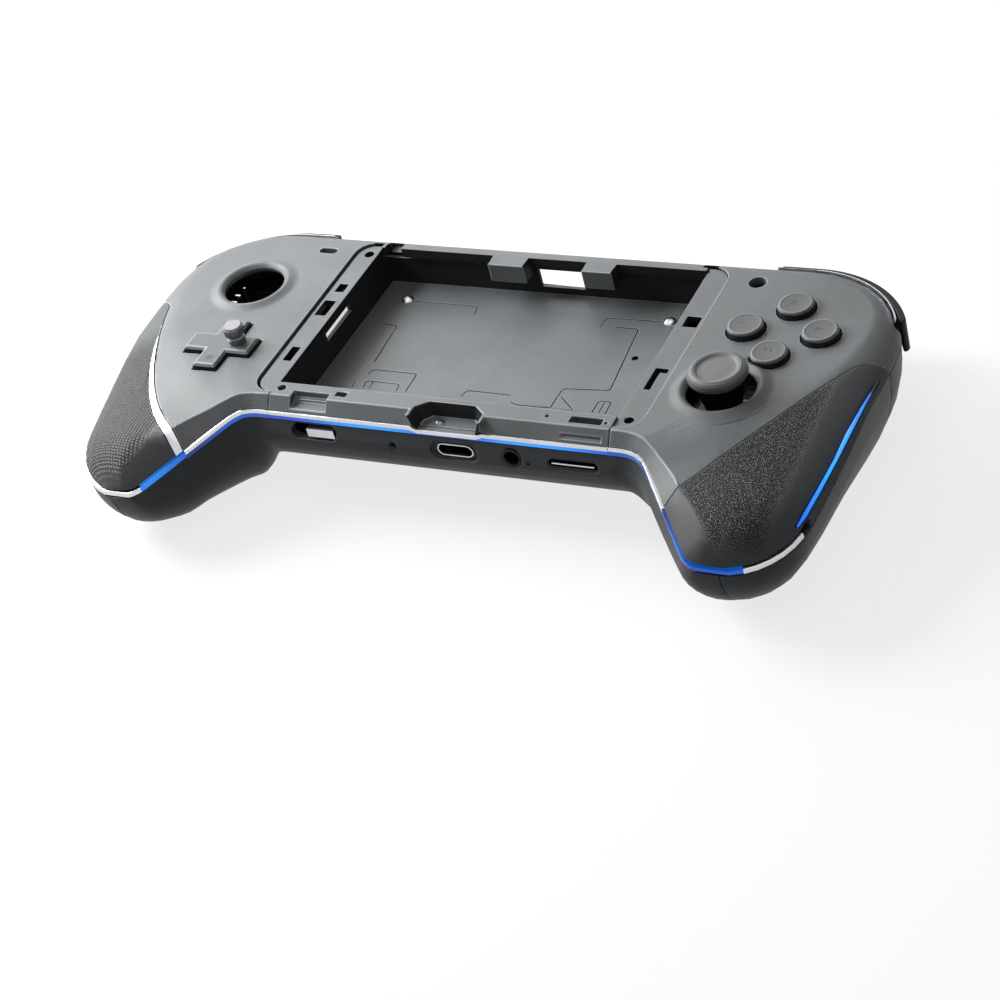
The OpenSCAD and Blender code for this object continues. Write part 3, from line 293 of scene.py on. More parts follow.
def makeRibGroup():
    # short ribs in rows, as a height
    group, start, end = newGroup(
        "ribRows", [("Vector", "Vector"), ("Across", "Vector"), ("Along", "Vector")], ["Height"])
    waves = []
    for side in ("Across", "Along"):
        phase = vectorNode(group, "DOT_PRODUCT", start.outputs["Vector"], start.outputs[side])
        wave = mathNode(group, "SINE", phase)
        waves.append(mathNode(group, "MULTIPLY_ADD", wave, 0.5, 0.5))
    group.links.new(mathNode(group, "MULTIPLY", *waves), end.inputs["Height"])
    return group


grainGroup = makeGrainGroup()
wearGroup = makeWearGroup()
fadeGroup = makeFadeGroup()
pebbleGroup = makePebbleGroup()
ribGroup = makeRibGroup()


def placeGroup(tree, group, vector, **values):
    node = tree.nodes.new("ShaderNodeGroup")
    node.node_tree = group
    tree.links.new(vector, node.inputs["Vector"])
    for label, value in values.items():
        node.inputs[label].default_value = value
    return node


def fadeMask(tree, vector, fades):
    # product of several fades, each (point in mm, direction, width in mm)
    mask = None
    for point, direction, width in fades:
        way = Vector(direction).normalized() / (width * mm)
        node = placeGroup(
            tree, fadeGroup, vector, Origin=[c * mm for c in point], Direction=tuple(way))
        fade = node.outputs["Mask"]
        mask = fade if mask is None else mathNode(tree, "MULTIPLY", mask, fade)
    return mask


def makeRelief(tree, place, texture):
    # the height of a grip's pattern
    if texture["kind"] == "pebbles":
        return placeGroup(tree, pebbleGroup, place, Scale=texture["scale"]).outputs["Height"]
    turn = 2 * math.pi
    across, along = (
        tuple(Vector(texture[way]).normalized() * (turn / (texture[way + "Mm"] * mm)))
        for way in ("across", "along")
    )
    return placeGroup(tree, ribGroup, place, Across=across, Along=along).outputs["Height"]


surface = {"wear": 0.5, "wornRough": -0.12, "bumpDistance": 0.0001}


def makeFinish(name, look, texture=None):
    material = bpy.data.materials.new(name + "Finish")
    material.use_nodes = True
    tree = material.node_tree
    shader = tree.nodes["Principled BSDF"]
    shader.inputs["Metallic"].default_value = look.get("metal", 0)
    shader.inputs["Specular IOR Level"].default_value = look.get("shine", 0.5)
    # a finish with lit glows faintly in its pale colour: painted light
    if "lit" in look:
        shader.inputs["Emission Color"].default_value = opaque(look["pale"])
        shader.inputs["Emission Strength"].default_value = look["lit"]
    place = tree.nodes.new("ShaderNodeTexCoord").outputs["Object"]
    grain = placeGroup(tree, grainGroup, place, Scale=look["grain"])
    wear = placeGroup(tree, wearGroup, place, Amount=surface["wear"])
    colour = mixNode(tree, grain.outputs["Tone"], opaque(look["dark"]), opaque(look["pale"]))
    height = mathNode(tree, "MULTIPLY", grain.outputs["Height"], look["bump"])
    # a grip's pattern: its tops are painted paler, a painted highlight, and its gaps darker, a
    # painted shade
    if texture:
        mask = fadeMask(tree, place, texture["fades"])
        relief = makeRelief(tree, place, texture)
        gaps = mathNode(tree, "MULTIPLY", mathNode(tree, "SUBTRACT", 1.0, relief), mask)
        height = mathNode(tree, "MULTIPLY_ADD", gaps, -texture["deep"], height)
        highlightedTops = tuple(c * texture["highlightGain"] for c in look["pale"])
        colour = mixNode(
            tree, mathNode(tree, "MULTIPLY", relief, mask), colour, opaque(highlightedTops))
        paintedGapShade = mathNode(tree, "MULTIPLY", gaps, texture["gapShadowShare"])
        colour = mixNode(tree, paintedGapShade, colour, opaque(texture["gapShadowColour"]))
    rough = mathNode(
        tree, "MULTIPLY_ADD", wear.outputs["Mask"], surface["wornRough"], look["rough"])
    bump = tree.nodes.new("ShaderNodeBump")
    bump.inputs["Distance"].default_value = surface["bumpDistance"]
    tree.links.new(height, bump.inputs["Height"])
    tree.links.new(colour, shader.inputs["Base Color"])
    tree.links.new(rough, shader.inputs["Roughness"])
    tree.links.new(bump.outputs["Normal"], shader.inputs["Normal"])
    return material


# Grips: pebbled on the right, rows of short ribs on the left, both fading into smooth rubber. The
# tops of the pattern are painted paler, a painted highlight, and the gaps between them darker, a
# painted shade
gripTextures = {
    "right_grip": {
        "kind": "pebbles", "scale": 2150,
        "highlightGain": 2.1, "deep": 4, "gapShadowShare": 0.85, "gapShadowColour": (0.014, 0.015, 0.016),
        "fades": [
            ((62.2, -33.8, 26), (0.86, -0.51, 0), 0.9), ((84.6, -20, 24), (-1, 0.03, 0), 3.5),
            ((64.6, -37, 22), (0.73, 0.68, 0), 1.5), ((77, -47, 22), (-0.35, 1, 0), 5),
            ((84, 6, 24), (-0.2, -1, 0), 7),
        ],
    },
    "left_grip": {
        "kind": "ribs", "across": (0.12, 1, -0.1), "acrossMm": 0.62,
        "along": (1, -0.12, 0.75), "alongMm": 0.72,
        "highlightGain": 2.2, "deep": 2.6, "gapShadowShare": 0.8, "gapShadowColour": (0.02, 0.021, 0.023),
        "fades": [
            ((-65.5, -36, 24), (-0.95, 0.25, 0), 3), ((-68, -48, 22), (-0.1, 1, 0), 6),
            ((-86, 2, 24), (0.2, -1, 0), 14),
        ],
    },
}
# Edge highlights: the moulded finishes are painted paler, a painted highlight, and made smoother
# where a corner has been broken
edgeSmoother = 0.08
edgeHighlightGain = {
    "plate": 2.1, "shell_black": 1.7, "grip_rubber": 1.6, "control_grey": 2.2,
    "stick_rubber": 1.9, "gloss_black": 2.5,
}
for name, highlightGain in edgeHighlightGain.items():
    look = finishes[name]
    finishes[name + "Edge"] = {
        **look, "rough": look["rough"] - edgeSmoother,
        "dark": tuple(c * highlightGain for c in look["dark"]),
        "pale": tuple(c * highlightGain for c in look["pale"]),
    }
materials = {name: makeFinish(name, look) for name, look in finishes.items()}
for name, texture in gripTextures.items():
    materials[name] = makeFinish(name, finishes["grip_rubber"], texture)

# Light guides: each glows along its own run, brightest at its middles (mm along its axis)
glows = {
    "frontGlow": {
        "edge": (0.0, 0.045, 0.5), "core": (0.01, 0.3, 1.0), "power": 1.15,
        "middles": (-16, 24), "half": 22, "axis": (1, 0, 0),
    },
    "barGlow": {
        "edge": (0.0, 0.12, 0.75), "core": (0.01, 0.36, 1.0), "power": 1.1,
        "middles": (-16,), "half": 22, "axis": (0, 1, 0),
        "end": ((90, 2.2, 25), (0, -1, 0), 1.5),
    },
    "tipGlow": {
        "edge": (0.0, 0.06, 0.4), "core": (0.01, 0.2, 0.75), "power": 1.0,
        "middles": (-44,), "half": 10, "axis": (0, 1, 0),
    },
    "lineGlow": {
        "edge": (0.0, 0.015, 0.2), "core": (0.0, 0.09, 0.5), "power": 1.0,
        "middles": (-27, -44), "half": 8, "axis": (0, 1, 0),
    },
}
guidePlastic = {"colour": (0.01, 0.02, 0.05), "rough": 0.25, "grain": 2400, "unevenness": 0.12}


def makeGlow(name, look):
    material = bpy.data.materials.new(name)
    material.use_nodes = True
    tree = material.node_tree
    shader = tree.nodes["Principled BSDF"]
    shader.inputs["Base Color"].default_value = opaque(guidePlastic["colour"])
    shader.inputs["Roughness"].default_value = guidePlastic["rough"]
    shader.inputs["Emission Strength"].default_value = look["power"]
    place = tree.nodes.new("ShaderNodeTexCoord").outputs["Object"]
    grain = placeGroup(tree, grainGroup, place, Scale=guidePlastic["grain"])
    along = vectorNode(tree, "DOT_PRODUCT", place, look["axis"])
    mask = None
    for middle in look["middles"]:
        away = mathNode(tree, "ABSOLUTE", mathNode(tree, "SUBTRACT", along, middle * mm))
        near = rampNode(tree, away, look["half"] * mm, 0)
        mask = near if mask is None else mathNode(tree, "MAXIMUM", mask, near)
    unevenness = guidePlastic["unevenness"]
    lively = mathNode(
        tree, "MULTIPLY_ADD", grain.outputs["Tone"], unevenness, -unevenness / 2)
    level = mathNode(tree, "ADD", mask, lively)
    colour = mixNode(tree, level, opaque(look["edge"]), opaque(look["core"]))
    if "end" in look:
        lit = fadeMask(tree, place, [look["end"]])
        colour = mixNode(tree, lit, opaque((0, 0, 0)), colour)
    tree.links.new(colour, shader.inputs["Emission Color"])
    return material


for name, look in glows.items():
    materials[name] = makeGlow(name, look)

slotOf = {row["node"]: row["material_slot"] for row in frame["record"]["subparts"]}
bodyOf = {
    node: body for body, members in frame["record"]["behaviour"]["bodies"].items()
    for node in members
}
# Nodes whose look isn't that of their slot
lookOf = {
    "front_light": "frontGlow", "right_light_bar": "barGlow", "left_tip_light": "tipGlow",
    "right_tip_light": "lineGlow", "left_knee_light": "lineGlow",
    "right_knee_light": "lineGlow", "notch_screw": "darkSteel", "thumb_post": "darkSteel",
    "switch_slider": "steel", "charging_socket": "gloss_black",
}


def finishOf(name):
    if name in lookOf:
        return materials[lookOf[name]]
    return materials[name if name in gripTextures else slotOf[name]]


for name, node in frame["nodes"].items():
    node.data.materials.clear()
    node.data.materials.append(finishOf(name))
print("finishes given to", len(frame["nodes"]), "nodes")


def only(piece):
    bpy.ops.object.select_all(action="DESELECT")
    bpy.context.view_layer.objects.active = piece
    piece.select_set(True)


def settle(piece, body, finish, angle=35):
    # place goes into the mesh, faces turn outwards, and the piece rides on its body
    only(piece)
    bpy.ops.object.transform_apply(location=True, rotation=True, scale=True)
    bpy.ops.object.mode_set(mode="EDIT")
    bpy.ops.mesh.select_all(action="SELECT")
    bpy.ops.mesh.remove_doubles(threshold=0.001 * mm)
    bpy.ops.mesh.normals_make_consistent(inside=False)
    bpy.ops.object.mode_set(mode="OBJECT")
    bpy.ops.object.shade_smooth_by_angle(angle=math.radians(angle))
    piece.data.materials.clear()
    piece.data.materials.append(materials[finish])
    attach(piece, body)


def strokeAlong(name, points, radius, corner=0.0):
    # a poly line with a round section: a cutter for an engraved line, or a raised stroke
    curve = bpy.data.curves.new(name, "CURVE")
    curve.dimensions = "3D"
    curve.bevel_depth = radius * mm
    curve.bevel_resolution = 1
    curve.use_fill_caps = True
    points = [Vector(p) for p in points]
    rounded = [points[0]]
    for before, here, after in zip(points, points[1:], points[2:]):
        for step in ((0, 0.35, 0.7, 1) if corner else (0,)):
            a = here + (before - here).normalized() * corner
            b = here + (after - here).normalized() * corner
            rounded.append(a.lerp(here, step).lerp(here.lerp(b, step), step))
    rounded.append(points[-1])
    spline = curve.splines.new("POLY")
    spline.points.add(len(rounded) - 1)
    for point, place in zip(spline.points, rounded):
        point.co = (*(place * mm), 1)
    piece = bpy.data.objects.new(name, curve)
    bpy.context.scene.collection.objects.link(piece)
    only(piece)
    bpy.ops.object.convert(target="MESH")
    return bpy.context.object


def addBlock(name, low, high):
    # a cube brought to size between two corners in mm
    bpy.ops.object.select_all(action="DESELECT")
    bpy.ops.mesh.primitive_cube_add(
        size=1, location=[(a + b) / 2 * mm for a, b in zip(low, high)])
    piece = bpy.context.object
    piece.name = name
    piece.scale = [(b - a) * mm for a, b in zip(low, high)]
    return piece


blockEdges = {"cornerSegments": 5, "softSegments": 2, "softAngle": 50}


def roundedBlock(name, low, high, corner, soft=0.0):
    # a block with its upright edges rounded, and its top and bottom edges softened
    piece = addBlock(name, low, high)
    bpy.ops.object.transform_apply(location=False, rotation=False, scale=True)
    bpy.ops.object.mode_set(mode="EDIT")
    bpy.ops.mesh.select_all(action="DESELECT")
    bpy.ops.object.mode_set(mode="OBJECT")
    for edge in piece.data.edges:
        a, b = (piece.data.vertices[v].co for v in edge.vertices)
        edge.select = abs(a.z - b.z) > (high[2] - low[2]) / 2 * mm
    bpy.ops.object.mode_set(mode="EDIT")
    bpy.ops.mesh.select_mode(type="EDGE")
    bpy.ops.mesh.bevel(
        offset=corner * mm, segments=blockEdges["cornerSegments"], affect="EDGES")
    bpy.ops.object.mode_set(mode="OBJECT")
    if soft:
        bevel = piece.modifiers.new("soft", "BEVEL")
        bevel.width = soft * mm
        bevel.segments = blockEdges["softSegments"]
        bevel.angle_limit = math.radians(blockEdges["softAngle"])
        only(piece)
        bpy.ops.object.modifier_apply(modifier="soft")
    return piece


def cutFrom(piece, cutters, operation="DIFFERENCE"):
    for cutter in cutters:
        cut = piece.modifiers.new("cut", "BOOLEAN")
        cut.operation = operation
        cut.solver = "EXACT"
        cut.object = cutter
        only(piece)
        bpy.ops.object.modifier_apply(modifier="cut")
        bpy.data.objects.remove(cutter)


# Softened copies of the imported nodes: merged, their edges broken, their curves shaded smooth
softening = {"merge": 0.002, "flatAngle": 0.3, "angle": 32, "segments": 2}


def mergedCopy(name):
    mesh = frame["nodes"][name].data.copy()
    piece = bpy.data.objects.new(name + "_softened", mesh)
    bpy.context.scene.collection.objects.link(piece)
    only(piece)
    bpy.ops.object.mode_set(mode="EDIT")
    bpy.ops.mesh.select_all(action="SELECT")
    bpy.ops.mesh.remove_doubles(threshold=softening["merge"] * mm)
    bpy.ops.object.mode_set(mode="OBJECT")
    return piece


def markEdges(piece, angle, quiet):
    # every sharp edge gets a bevel weight, apart from those that quiet picks by their place
    form = bmesh.new()
    form.from_mesh(piece.data)
    weight = form.edges.layers.float.new("bevel_weight_edge")
    for edge in form.edges:
        middle = (edge.verts[0].co + edge.verts[1].co) / 2 / mm
        sharp = len(edge.link_faces) == 2 and edge.calc_face_angle(0) > math.radians(angle)
        edge[weight] = float(sharp and not quiet(middle))
    form.to_mesh(piece.data)
    form.free()


def soften(name, width, angle=softening["angle"], cutters=(), joined=(), inner=None, quiet=None):
    # inner is another finish and the faces that get it, used for painted shade on walls and sides
    # and for the plate grey on the front trim's sill, and quiet picks edges that stay sharp
    piece = mergedCopy(name)
    cutFrom(piece, [mergedCopy(other) for other in joined], "UNION")
    cutFrom(piece, cutters)
    only(piece)
    bpy.ops.object.mode_set(mode="EDIT")
    bpy.ops.mesh.select_all(action="SELECT")
    bpy.ops.mesh.remove_doubles(threshold=softening["merge"] * mm)
    bpy.ops.mesh.dissolve_limited(angle_limit=math.radians(softening["flatAngle"]))
    bpy.ops.object.mode_set(mode="OBJECT")
    base = finishOf(name)
    finish = "grip_rubber" if name in gripTextures else slotOf[name]
    # the bevel faces of a moulded finish take its paler copy, a painted highlight
    paintsEdgeHighlight = finish in edgeHighlightGain and name not in lookOf
    piece.data.materials.clear()
    piece.data.materials.append(base)
    piece.data.materials.append(materials[finish + "Edge"] if paintsEdgeHighlight else base)
    for face in piece.data.polygons:
        face.material_index = 0
    bevel = piece.modifiers.new("edges", "BEVEL")
    bevel.width = width * mm
    bevel.segments = softening["segments"]
    bevel.material = 1
    bevel.use_clamp_overlap = False
    bevel.limit_method = "WEIGHT" if quiet else "ANGLE"
    bevel.angle_limit = math.radians(angle)
    if quiet:
        markEdges(piece, angle, quiet)
    bpy.ops.object.modifier_apply(modifier="edges")
    bpy.ops.object.shade_smooth_by_angle(angle=math.radians(angle))
    weigh = piece.modifiers.new("normals", "WEIGHTED_NORMAL")
    weigh.keep_sharp = True
    bpy.ops.object.modifier_apply(modifier="normals")
    if inner:
        innerFinish, isInner = inner
        piece.data.materials.append(materials[innerFinish])
        for face in piece.data.polygons:
            if isInner(face.center / mm, face.normal):
                face.material_index = 2
    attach(piece, bodyOf[name])
    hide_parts(name, *joined)
    return piece


# Lines and a shallow recess cut into the floor of the bay
floorLines = {
    "level": 18.52, "radius": 0.17, "corner": 0.9,
    "paths": [
        [(-33.6, 28.6), (-15.6, 28.6), (-15.1, 25.4)],
        [(-36.2, 19.1), (-32.6, 19.0), (-31.6, 4.8)],
        [(-31.0, 0.4), (-30.6, 2.3), (-18.9, 2.3), (-18.7, -4.3)],
        [(-29.8, -4.5), (-30.1, -1.8), (-21.3, -2.0), (-21.1, -4.6)],
        [(-28.4, -1.8), (-28.2, -4.6)],
        [(-32.9, -1.9), (-32.7, -4.6)],
        [(17.6, 24.8), (17.9, 28.3), (31.2, 28.6)],
        [(21.3, 25.2), (27.0, 25.3), (29.3, 3.0), (18.2, 2.1), (18.1, -4.6)],
        [(-4.6, -4.1), (-4.1, -1.7), (6.8, -1.9)],
        [(7.9, -4.1), (9.8, -4.9), (17.8, -4.9)],
        [(19.0, -0.7), (23.6, -4.7)],
        [(28.3, -4.9), (28.3, -0.8), (31.3, -0.7), (31.5, -4.9)],
        [(29.8, -1.2), (29.9, -4.9)],
    ],
}
pillRecess = {"low": (-2.2, 29.9, 18.15), "high": (8.1, 33.0, 19.5), "corner": 1.5}
bayCutters = [
    strokeAlong("floorLine", [(x, y, floorLines["level"]) for x, y in path],
                floorLines["radius"], floorLines["corner"])
    for path in floorLines["paths"]
]
bayCutters.append(roundedBlock("pillRecess", **pillRecess))


def isBayPaintedShade(p, n):
    # the lines' grooves, and the walls under the ledge, get a painted shade
    groove = 18.2 < p.z < 18.46
    wall = abs(n.z) < 0.5 and p.z < 28.2
    return groove or wall


def isRampEnd(p):
    # the slanted front wall ends here on the right wall, in a corner too narrow for a bevel
    return 41.5 < p.x < 42.5 and p.y < -7.5 and 18.7 < p.z


soften("bay_frame", 0.12, cutters=bayCutters, quiet=isRampEnd, inner=("innerPaintedShade", isBayPaintedShade))

# Latch pockets in the rear rail, one square and one hooked over the rim
rearPockets = {
    "latchPocket": {"low": (-40.8, 36.4, 26.6), "high": (-36.8, 38.6, 30), "corner": 0.5},
    "hookPocket": {"low": (40.3, 35.9, 27.0), "high": (44.0, 37.5, 30), "corner": 0.7},
}


def isCrowded(p):
    # the rear rail's columns, and where the right stick's rim runs into the fold of the handle
    columns = abs(p.x) < 43.5 and p.y > 33.5
    rimFold = 54.5 < p.x < 70 and -18.2 < p.y < -14.2 and p.z > 28.2
    return columns or rimFold


def isRearWallPaintedShade(p, n):
    # the upright walls at the rear rail, painted dark: painted shade
    return abs(p.x) < 44.2 and 33 < p.y < 38.7 and abs(n.z) < 0.9


soften("front_cover", 0.26, quiet=isCrowded, inner=("innerPaintedShade", isRearWallPaintedShade),
       cutters=[roundedBlock(name, **pocket) for name, pocket in rearPockets.items()])
soften("rear_shell", 0.2, angle=55, joined=["port_panel"])

# The notch in the front rail has its sides painted dark, a painted shade, and the trim's top in
# front of it is plate grey
notch = {"low": -3.9, "high": 10.3, "rim": 1.5, "front": -24.2}


def isNotchSide(p, n):
    # the notch's upright sides get a painted shade
    within = notch["low"] - notch["rim"] < p.x < notch["high"] + notch["rim"]
    return within and abs(n.z) < 0.5 and p.y > notch["front"]


def isNotchSill(p, n):
    return n.z > 0.95 and notch["low"] < p.x < notch["high"]


soften("front_rail", 0.24, inner=("innerPaintedShade", isNotchSide))
soften("front_trim", 0.14, inner=("plate", isNotchSill))

# How far the edges of the other pieces are broken, in mm
grips = {"left_grip": 0.25, "right_grip": 0.25, "left_rear_grip": 0.15, "right_rear_grip": 0.15}
edgeWidths = {
    "right_bumper": 0.35, "left_trigger": 0.5, "right_trigger": 0.5, "headphone_jack": 0.12,
    "left_knee_trim": 0.14, "right_knee_trim": 0.14,
}
# pieces whose upright sides get a painted shade
paintedShadeSides = {
    "direction_pad": 0.28, "rear_button": 0.16, "front_button": 0.16, "inner_button": 0.16,
    "outer_button": 0.16,
}


def isSide(p, n):
    # upright sides, painted dark: painted shade
    return abs(n.z) < 0.45


for name, width in grips.items():
    soften(name, width, angle=50)
for name, width in edgeWidths.items():
    soften(name, width)
for name, width in paintedShadeSides.items():
    soften(name, width, inner=("innerPaintedShade", isSide))


def shifted(piece, move):
    # each point of a softened copy is moved by what move gives for its place, in mm
    for vertex in piece.data.vertices:
        vertex.co += Vector(move(vertex.co / mm)) * mm


def ease(value, low, high):
    part = max(0.0, min(1.0, (value - low) / (high - low)))
    return part * part * (3 - 2 * part)


# The bright line under each bumper shows along the edge of the plate, and the left bumper
# drops at its outer end, between 60 and 82 mm from the middle
bumperLine = {
    "level": 27.1, "rise": 0.75, "out": 0.0036,
    "drop": 0.7, "dropFrom": 60, "dropTo": 82,
}


def bumperDrop(p):
    # on the right side, where x is positive, this is nothing
    return bumperLine["drop"] * ease(-p.x, bumperLine["dropFrom"], bumperLine["dropTo"])


def liftTrim(p):
    # a trim's upper edge goes up and out
    upper = p.z > bumperLine["level"]
    return p.x * bumperLine["out"] * upper, 0, bumperLine["rise"] * upper - bumperDrop(p)


for side in ("left", "right"):
    shifted(soften(side + "_bumper_trim", 0.1), liftTrim)
shifted(soften("left_bumper", 0.35), lambda p: (0, 0, -bumperDrop(p)))
seamRise = 0.1
shifted(soften("left_seam_trim", 0.12), lambda p: (0, 0, seamRise))

# The light bar is slimmer than its pocket, and narrows towards its upper end
barSize = {"low": -35.2, "high": 5.6, "wide": 0.66, "thin": 0.4, "raise": (0.12, 0, 0.16),
           "slice": 0.7}
bar = soften("right_light_bar", 0.1)
places = [vertex.co.copy() for vertex in bar.data.vertices]
for vertex, place in zip(bar.data.vertices, places):
    near = [p for p in places if abs(p.y - place.y) < barSize["slice"] * mm]
    middle = Vector((min(p[i] for p in near) + max(p[i] for p in near)) / 2 for i in range(3))
    part = ease(place.y / mm, barSize["low"], barSize["high"])
    keep = barSize["wide"] + (barSize["thin"] - barSize["wide"]) * part
    vertex.co = middle + (place - middle) * keep + Vector(barSize["raise"]) * mm

# The strips round the tips are drawn in towards their middle, which falls away with the seam
# of the rim, so dark gaps are left above and below them
rimPlane = {"level": 37.169, "fallX": 0.1228, "fallY": 0.2401}
tipStrips = {"left_tip_light": 0.6, "left_tip_trim": 0.6, "right_tip_light": 0.36,
             "right_tip_trim": 0.55}
for name, keep in tipStrips.items():
    for vertex in soften(name, 0.1).data.vertices:
        x, y, z = vertex.co / mm
        middle = rimPlane["level"] - rimPlane["fallX"] * abs(x) + rimPlane["fallY"] * y
        vertex.co.z = (middle + (z - middle) * keep) * mm
softened = [piece for piece in bpy.data.objects if piece.name.endswith("_softened")]
print("edges broken on", len(softened), "nodes")

# Knurled bands: (height, radius) levels in mm, the first and last inside the piece they are on
stickPlace = (60.8, -5.45)
postPlace = (-58.7, -6.35)
bands = {
    "stickRimKnurl": {
        "centre": stickPlace, "count": 120, "proud": 0.24, "staggered": 1,
        "body": "stick", "slot": "stick_rubber", "finish": "stick_rubber",
        "levels": [(32.3, 5.2), (32.45, 6.0), (32.75, 6.22), (33.05, 6.32), (33.35, 6.34),
                   (33.65, 6.34), (33.95, 6.3), (34.25, 6.18), (34.35, 5.4)],
    },
    "stickSkirt": {
        "centre": stickPlace, "count": 120, "proud": -0.28, "staggered": 0,
        "body": "stick", "slot": "gloss_black", "finish": "gloss_black",
        "levels": [(25.4, 3.0), (25.5, 4.1), (27.5, 4.55), (30.0, 5.0), (31.75, 5.2),
                   (31.85, 3.0)],
    },
    "postHeadKnurl": {
        "centre": postPlace, "count": 48, "proud": 0.2, "staggered": 1,
        "body": "pad", "slot": "bright_trim", "finish": "darkSteel",
        "levels": [(32.6, 1.5), (32.75, 2.16), (33.15, 2.22), (33.55, 2.22), (33.95, 2.22),
                   (34.35, 2.22), (34.6, 2.16), (34.7, 1.6)],
    },
    "postStemKnurl": {
        "centre": postPlace, "count": 40, "proud": 0.12, "staggered": 1,
        "body": "pad", "slot": "bright_trim", "finish": "darkSteel",
        "levels": [(30.4, 1.4), (30.5, 1.9), (30.85, 1.92), (31.2, 1.92), (31.55, 1.92),
                   (31.75, 1.4)],
    },
}


def knurledBand(name, band):
    # a fine cylinder cut into rows, whose alternate points stand out
    bpy.ops.object.select_all(action="DESELECT")
    levels, count = band["levels"], band["count"]
    low, high = levels[0][0], levels[-1][0]
    centreX, centreY = (c * mm for c in band["centre"])
    bpy.ops.mesh.primitive_cylinder_add(
        vertices=count, radius=mm, depth=(high - low) * mm, end_fill_type="NGON",
        location=(centreX, centreY, (low + high) / 2 * mm),
    )
    piece = bpy.context.object
    piece.name = name
    bpy.ops.object.transform_apply(location=True, rotation=True, scale=True)
    for edge in piece.data.edges:
        a, b = (piece.data.vertices[v].co for v in edge.vertices)
        edge.select = abs(a.z - b.z) > 0.1 * mm
    for face in piece.data.polygons:
        face.select = False
    bpy.ops.object.mode_set(mode="EDIT")
    bpy.ops.mesh.select_mode(type="EDGE")
    bpy.ops.mesh.subdivide_edgering(
        number_cuts=len(levels) - 2, interpolation="LINEAR", smoothness=0)
    bpy.ops.object.mode_set(mode="OBJECT")
    steps = len(levels) - 1
    for vertex in piece.data.vertices:
        x, y = vertex.co.x - centreX, vertex.co.y - centreY
        row = round((vertex.co.z / mm - low) / (high - low) * steps)
        spoke = round(math.atan2(y, x) / (2 * math.pi) * count)
        out = 0 < row < steps and (spoke + row * band["staggered"]) % 2 == 0
        radius = levels[row][1] + (band["proud"] if out else 0)
        scale = radius * mm / math.hypot(x, y)
        vertex.co = (centreX + x * scale, centreY + y * scale, levels[row][0] * mm)
    return piece


for name, band in bands.items():
    settle(knurledBand(name, band), band["body"], band["finish"], angle=20)
print("knurls cut")

# Small raised marks on the face buttons and the direction pad
markStroke = {"radius": 0.09, "corner": 0.2}
marks = {
    "rear_button": {"level": 30.4, "strokes": [[(66.1, 23.4), (66.75, 24.6), (67.4, 23.5)]]},
    "inner_button": {"level": 30.4, "strokes": [[(57.2, 15.1), (58.1, 15.9), (58.9, 15.0)]]},
    "outer_button": {"level": 30.4, "strokes": [[(74.7, 14.9), (75.0, 15.9), (76.6, 15.7)]]},
    "front_button": {
        "level": 30.4,
        "strokes": [[(65.9, 7.3), (66.4, 7.7), (66.3, 6.9), (65.9, 7.3)],
                    [(67.2, 7.1), (67.7, 7.5), (67.6, 6.7), (67.2, 7.1)]],
    },
    "direction_pad": {
        "level": 30.3,
        "strokes": [[(-63.7, -13.5), (-62.9, -12.1)], [(-62.7, -13.6), (-61.9, -12.2)],
                    [(-60.2, -9.0), (-59.0, -8.8)]],
    },
}
for name, mark in marks.items():
    for i, stroke in enumerate(mark["strokes"]):
        points = [(x, y, mark["level"]) for x, y in stroke]
        piece = strokeAlong(f"{name}_mark{i}", points, markStroke["radius"], markStroke["corner"])
        settle(piece, bodyOf[name], "control_grey")
print("marks raised")

# The bright rim of the charging socket, and the bright line in the card slot
socketRim = {"centre": (4.7, -24.75, 20.95), "width": 8.6, "height": 2.95, "wire": 0.2,
             "steps": 10}
cardDoor = {"low": (28.1, -25.5, 20.85), "high": (38.3, -24.3, 21.2), "corner": 0.3,
            "soft": 0.08}


def rimPoints(rim):
    # two half circles with straight lines between them, in the plane of the front wall
    steps, radius = rim["steps"], rim["height"] / 2
    half = rim["width"] / 2 - radius
    centre = rim["centre"]
    points = []
    for side in (-1, 1):
        for i in range(steps + 1):
            angle = -side * math.pi / 2 + math.pi * i / steps
            points.append((centre[0] + side * half + radius * math.cos(angle), centre[1],
                           centre[2] + radius * math.sin(angle)))
    return points


points = rimPoints(socketRim)
piece = strokeAlong("socketRim", points + points[:2], socketRim["wire"])
settle(piece, "shell", "steel")
settle(roundedBlock("cardDoor", **cardDoor), "shell", "steel")

# The pale strip in the left wall of the bay fills its slot, a little past the wall, and glows
# faintly: painted light
stripGap = {"ends": 0.4, "edges": 0.3, "proud": 0.35, "corner": 0.1}
low, high = (Vector(c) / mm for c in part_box("side_contact"))
inset = Vector((0, stripGap["ends"], stripGap["edges"]))
strip = roundedBlock("paleStrip", low + inset, high - inset + Vector((stripGap["proud"], 0, 0)),
                     stripGap["corner"])
settle(strip, "shell", "paleStripPaintedGlow")
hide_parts("side_contact")

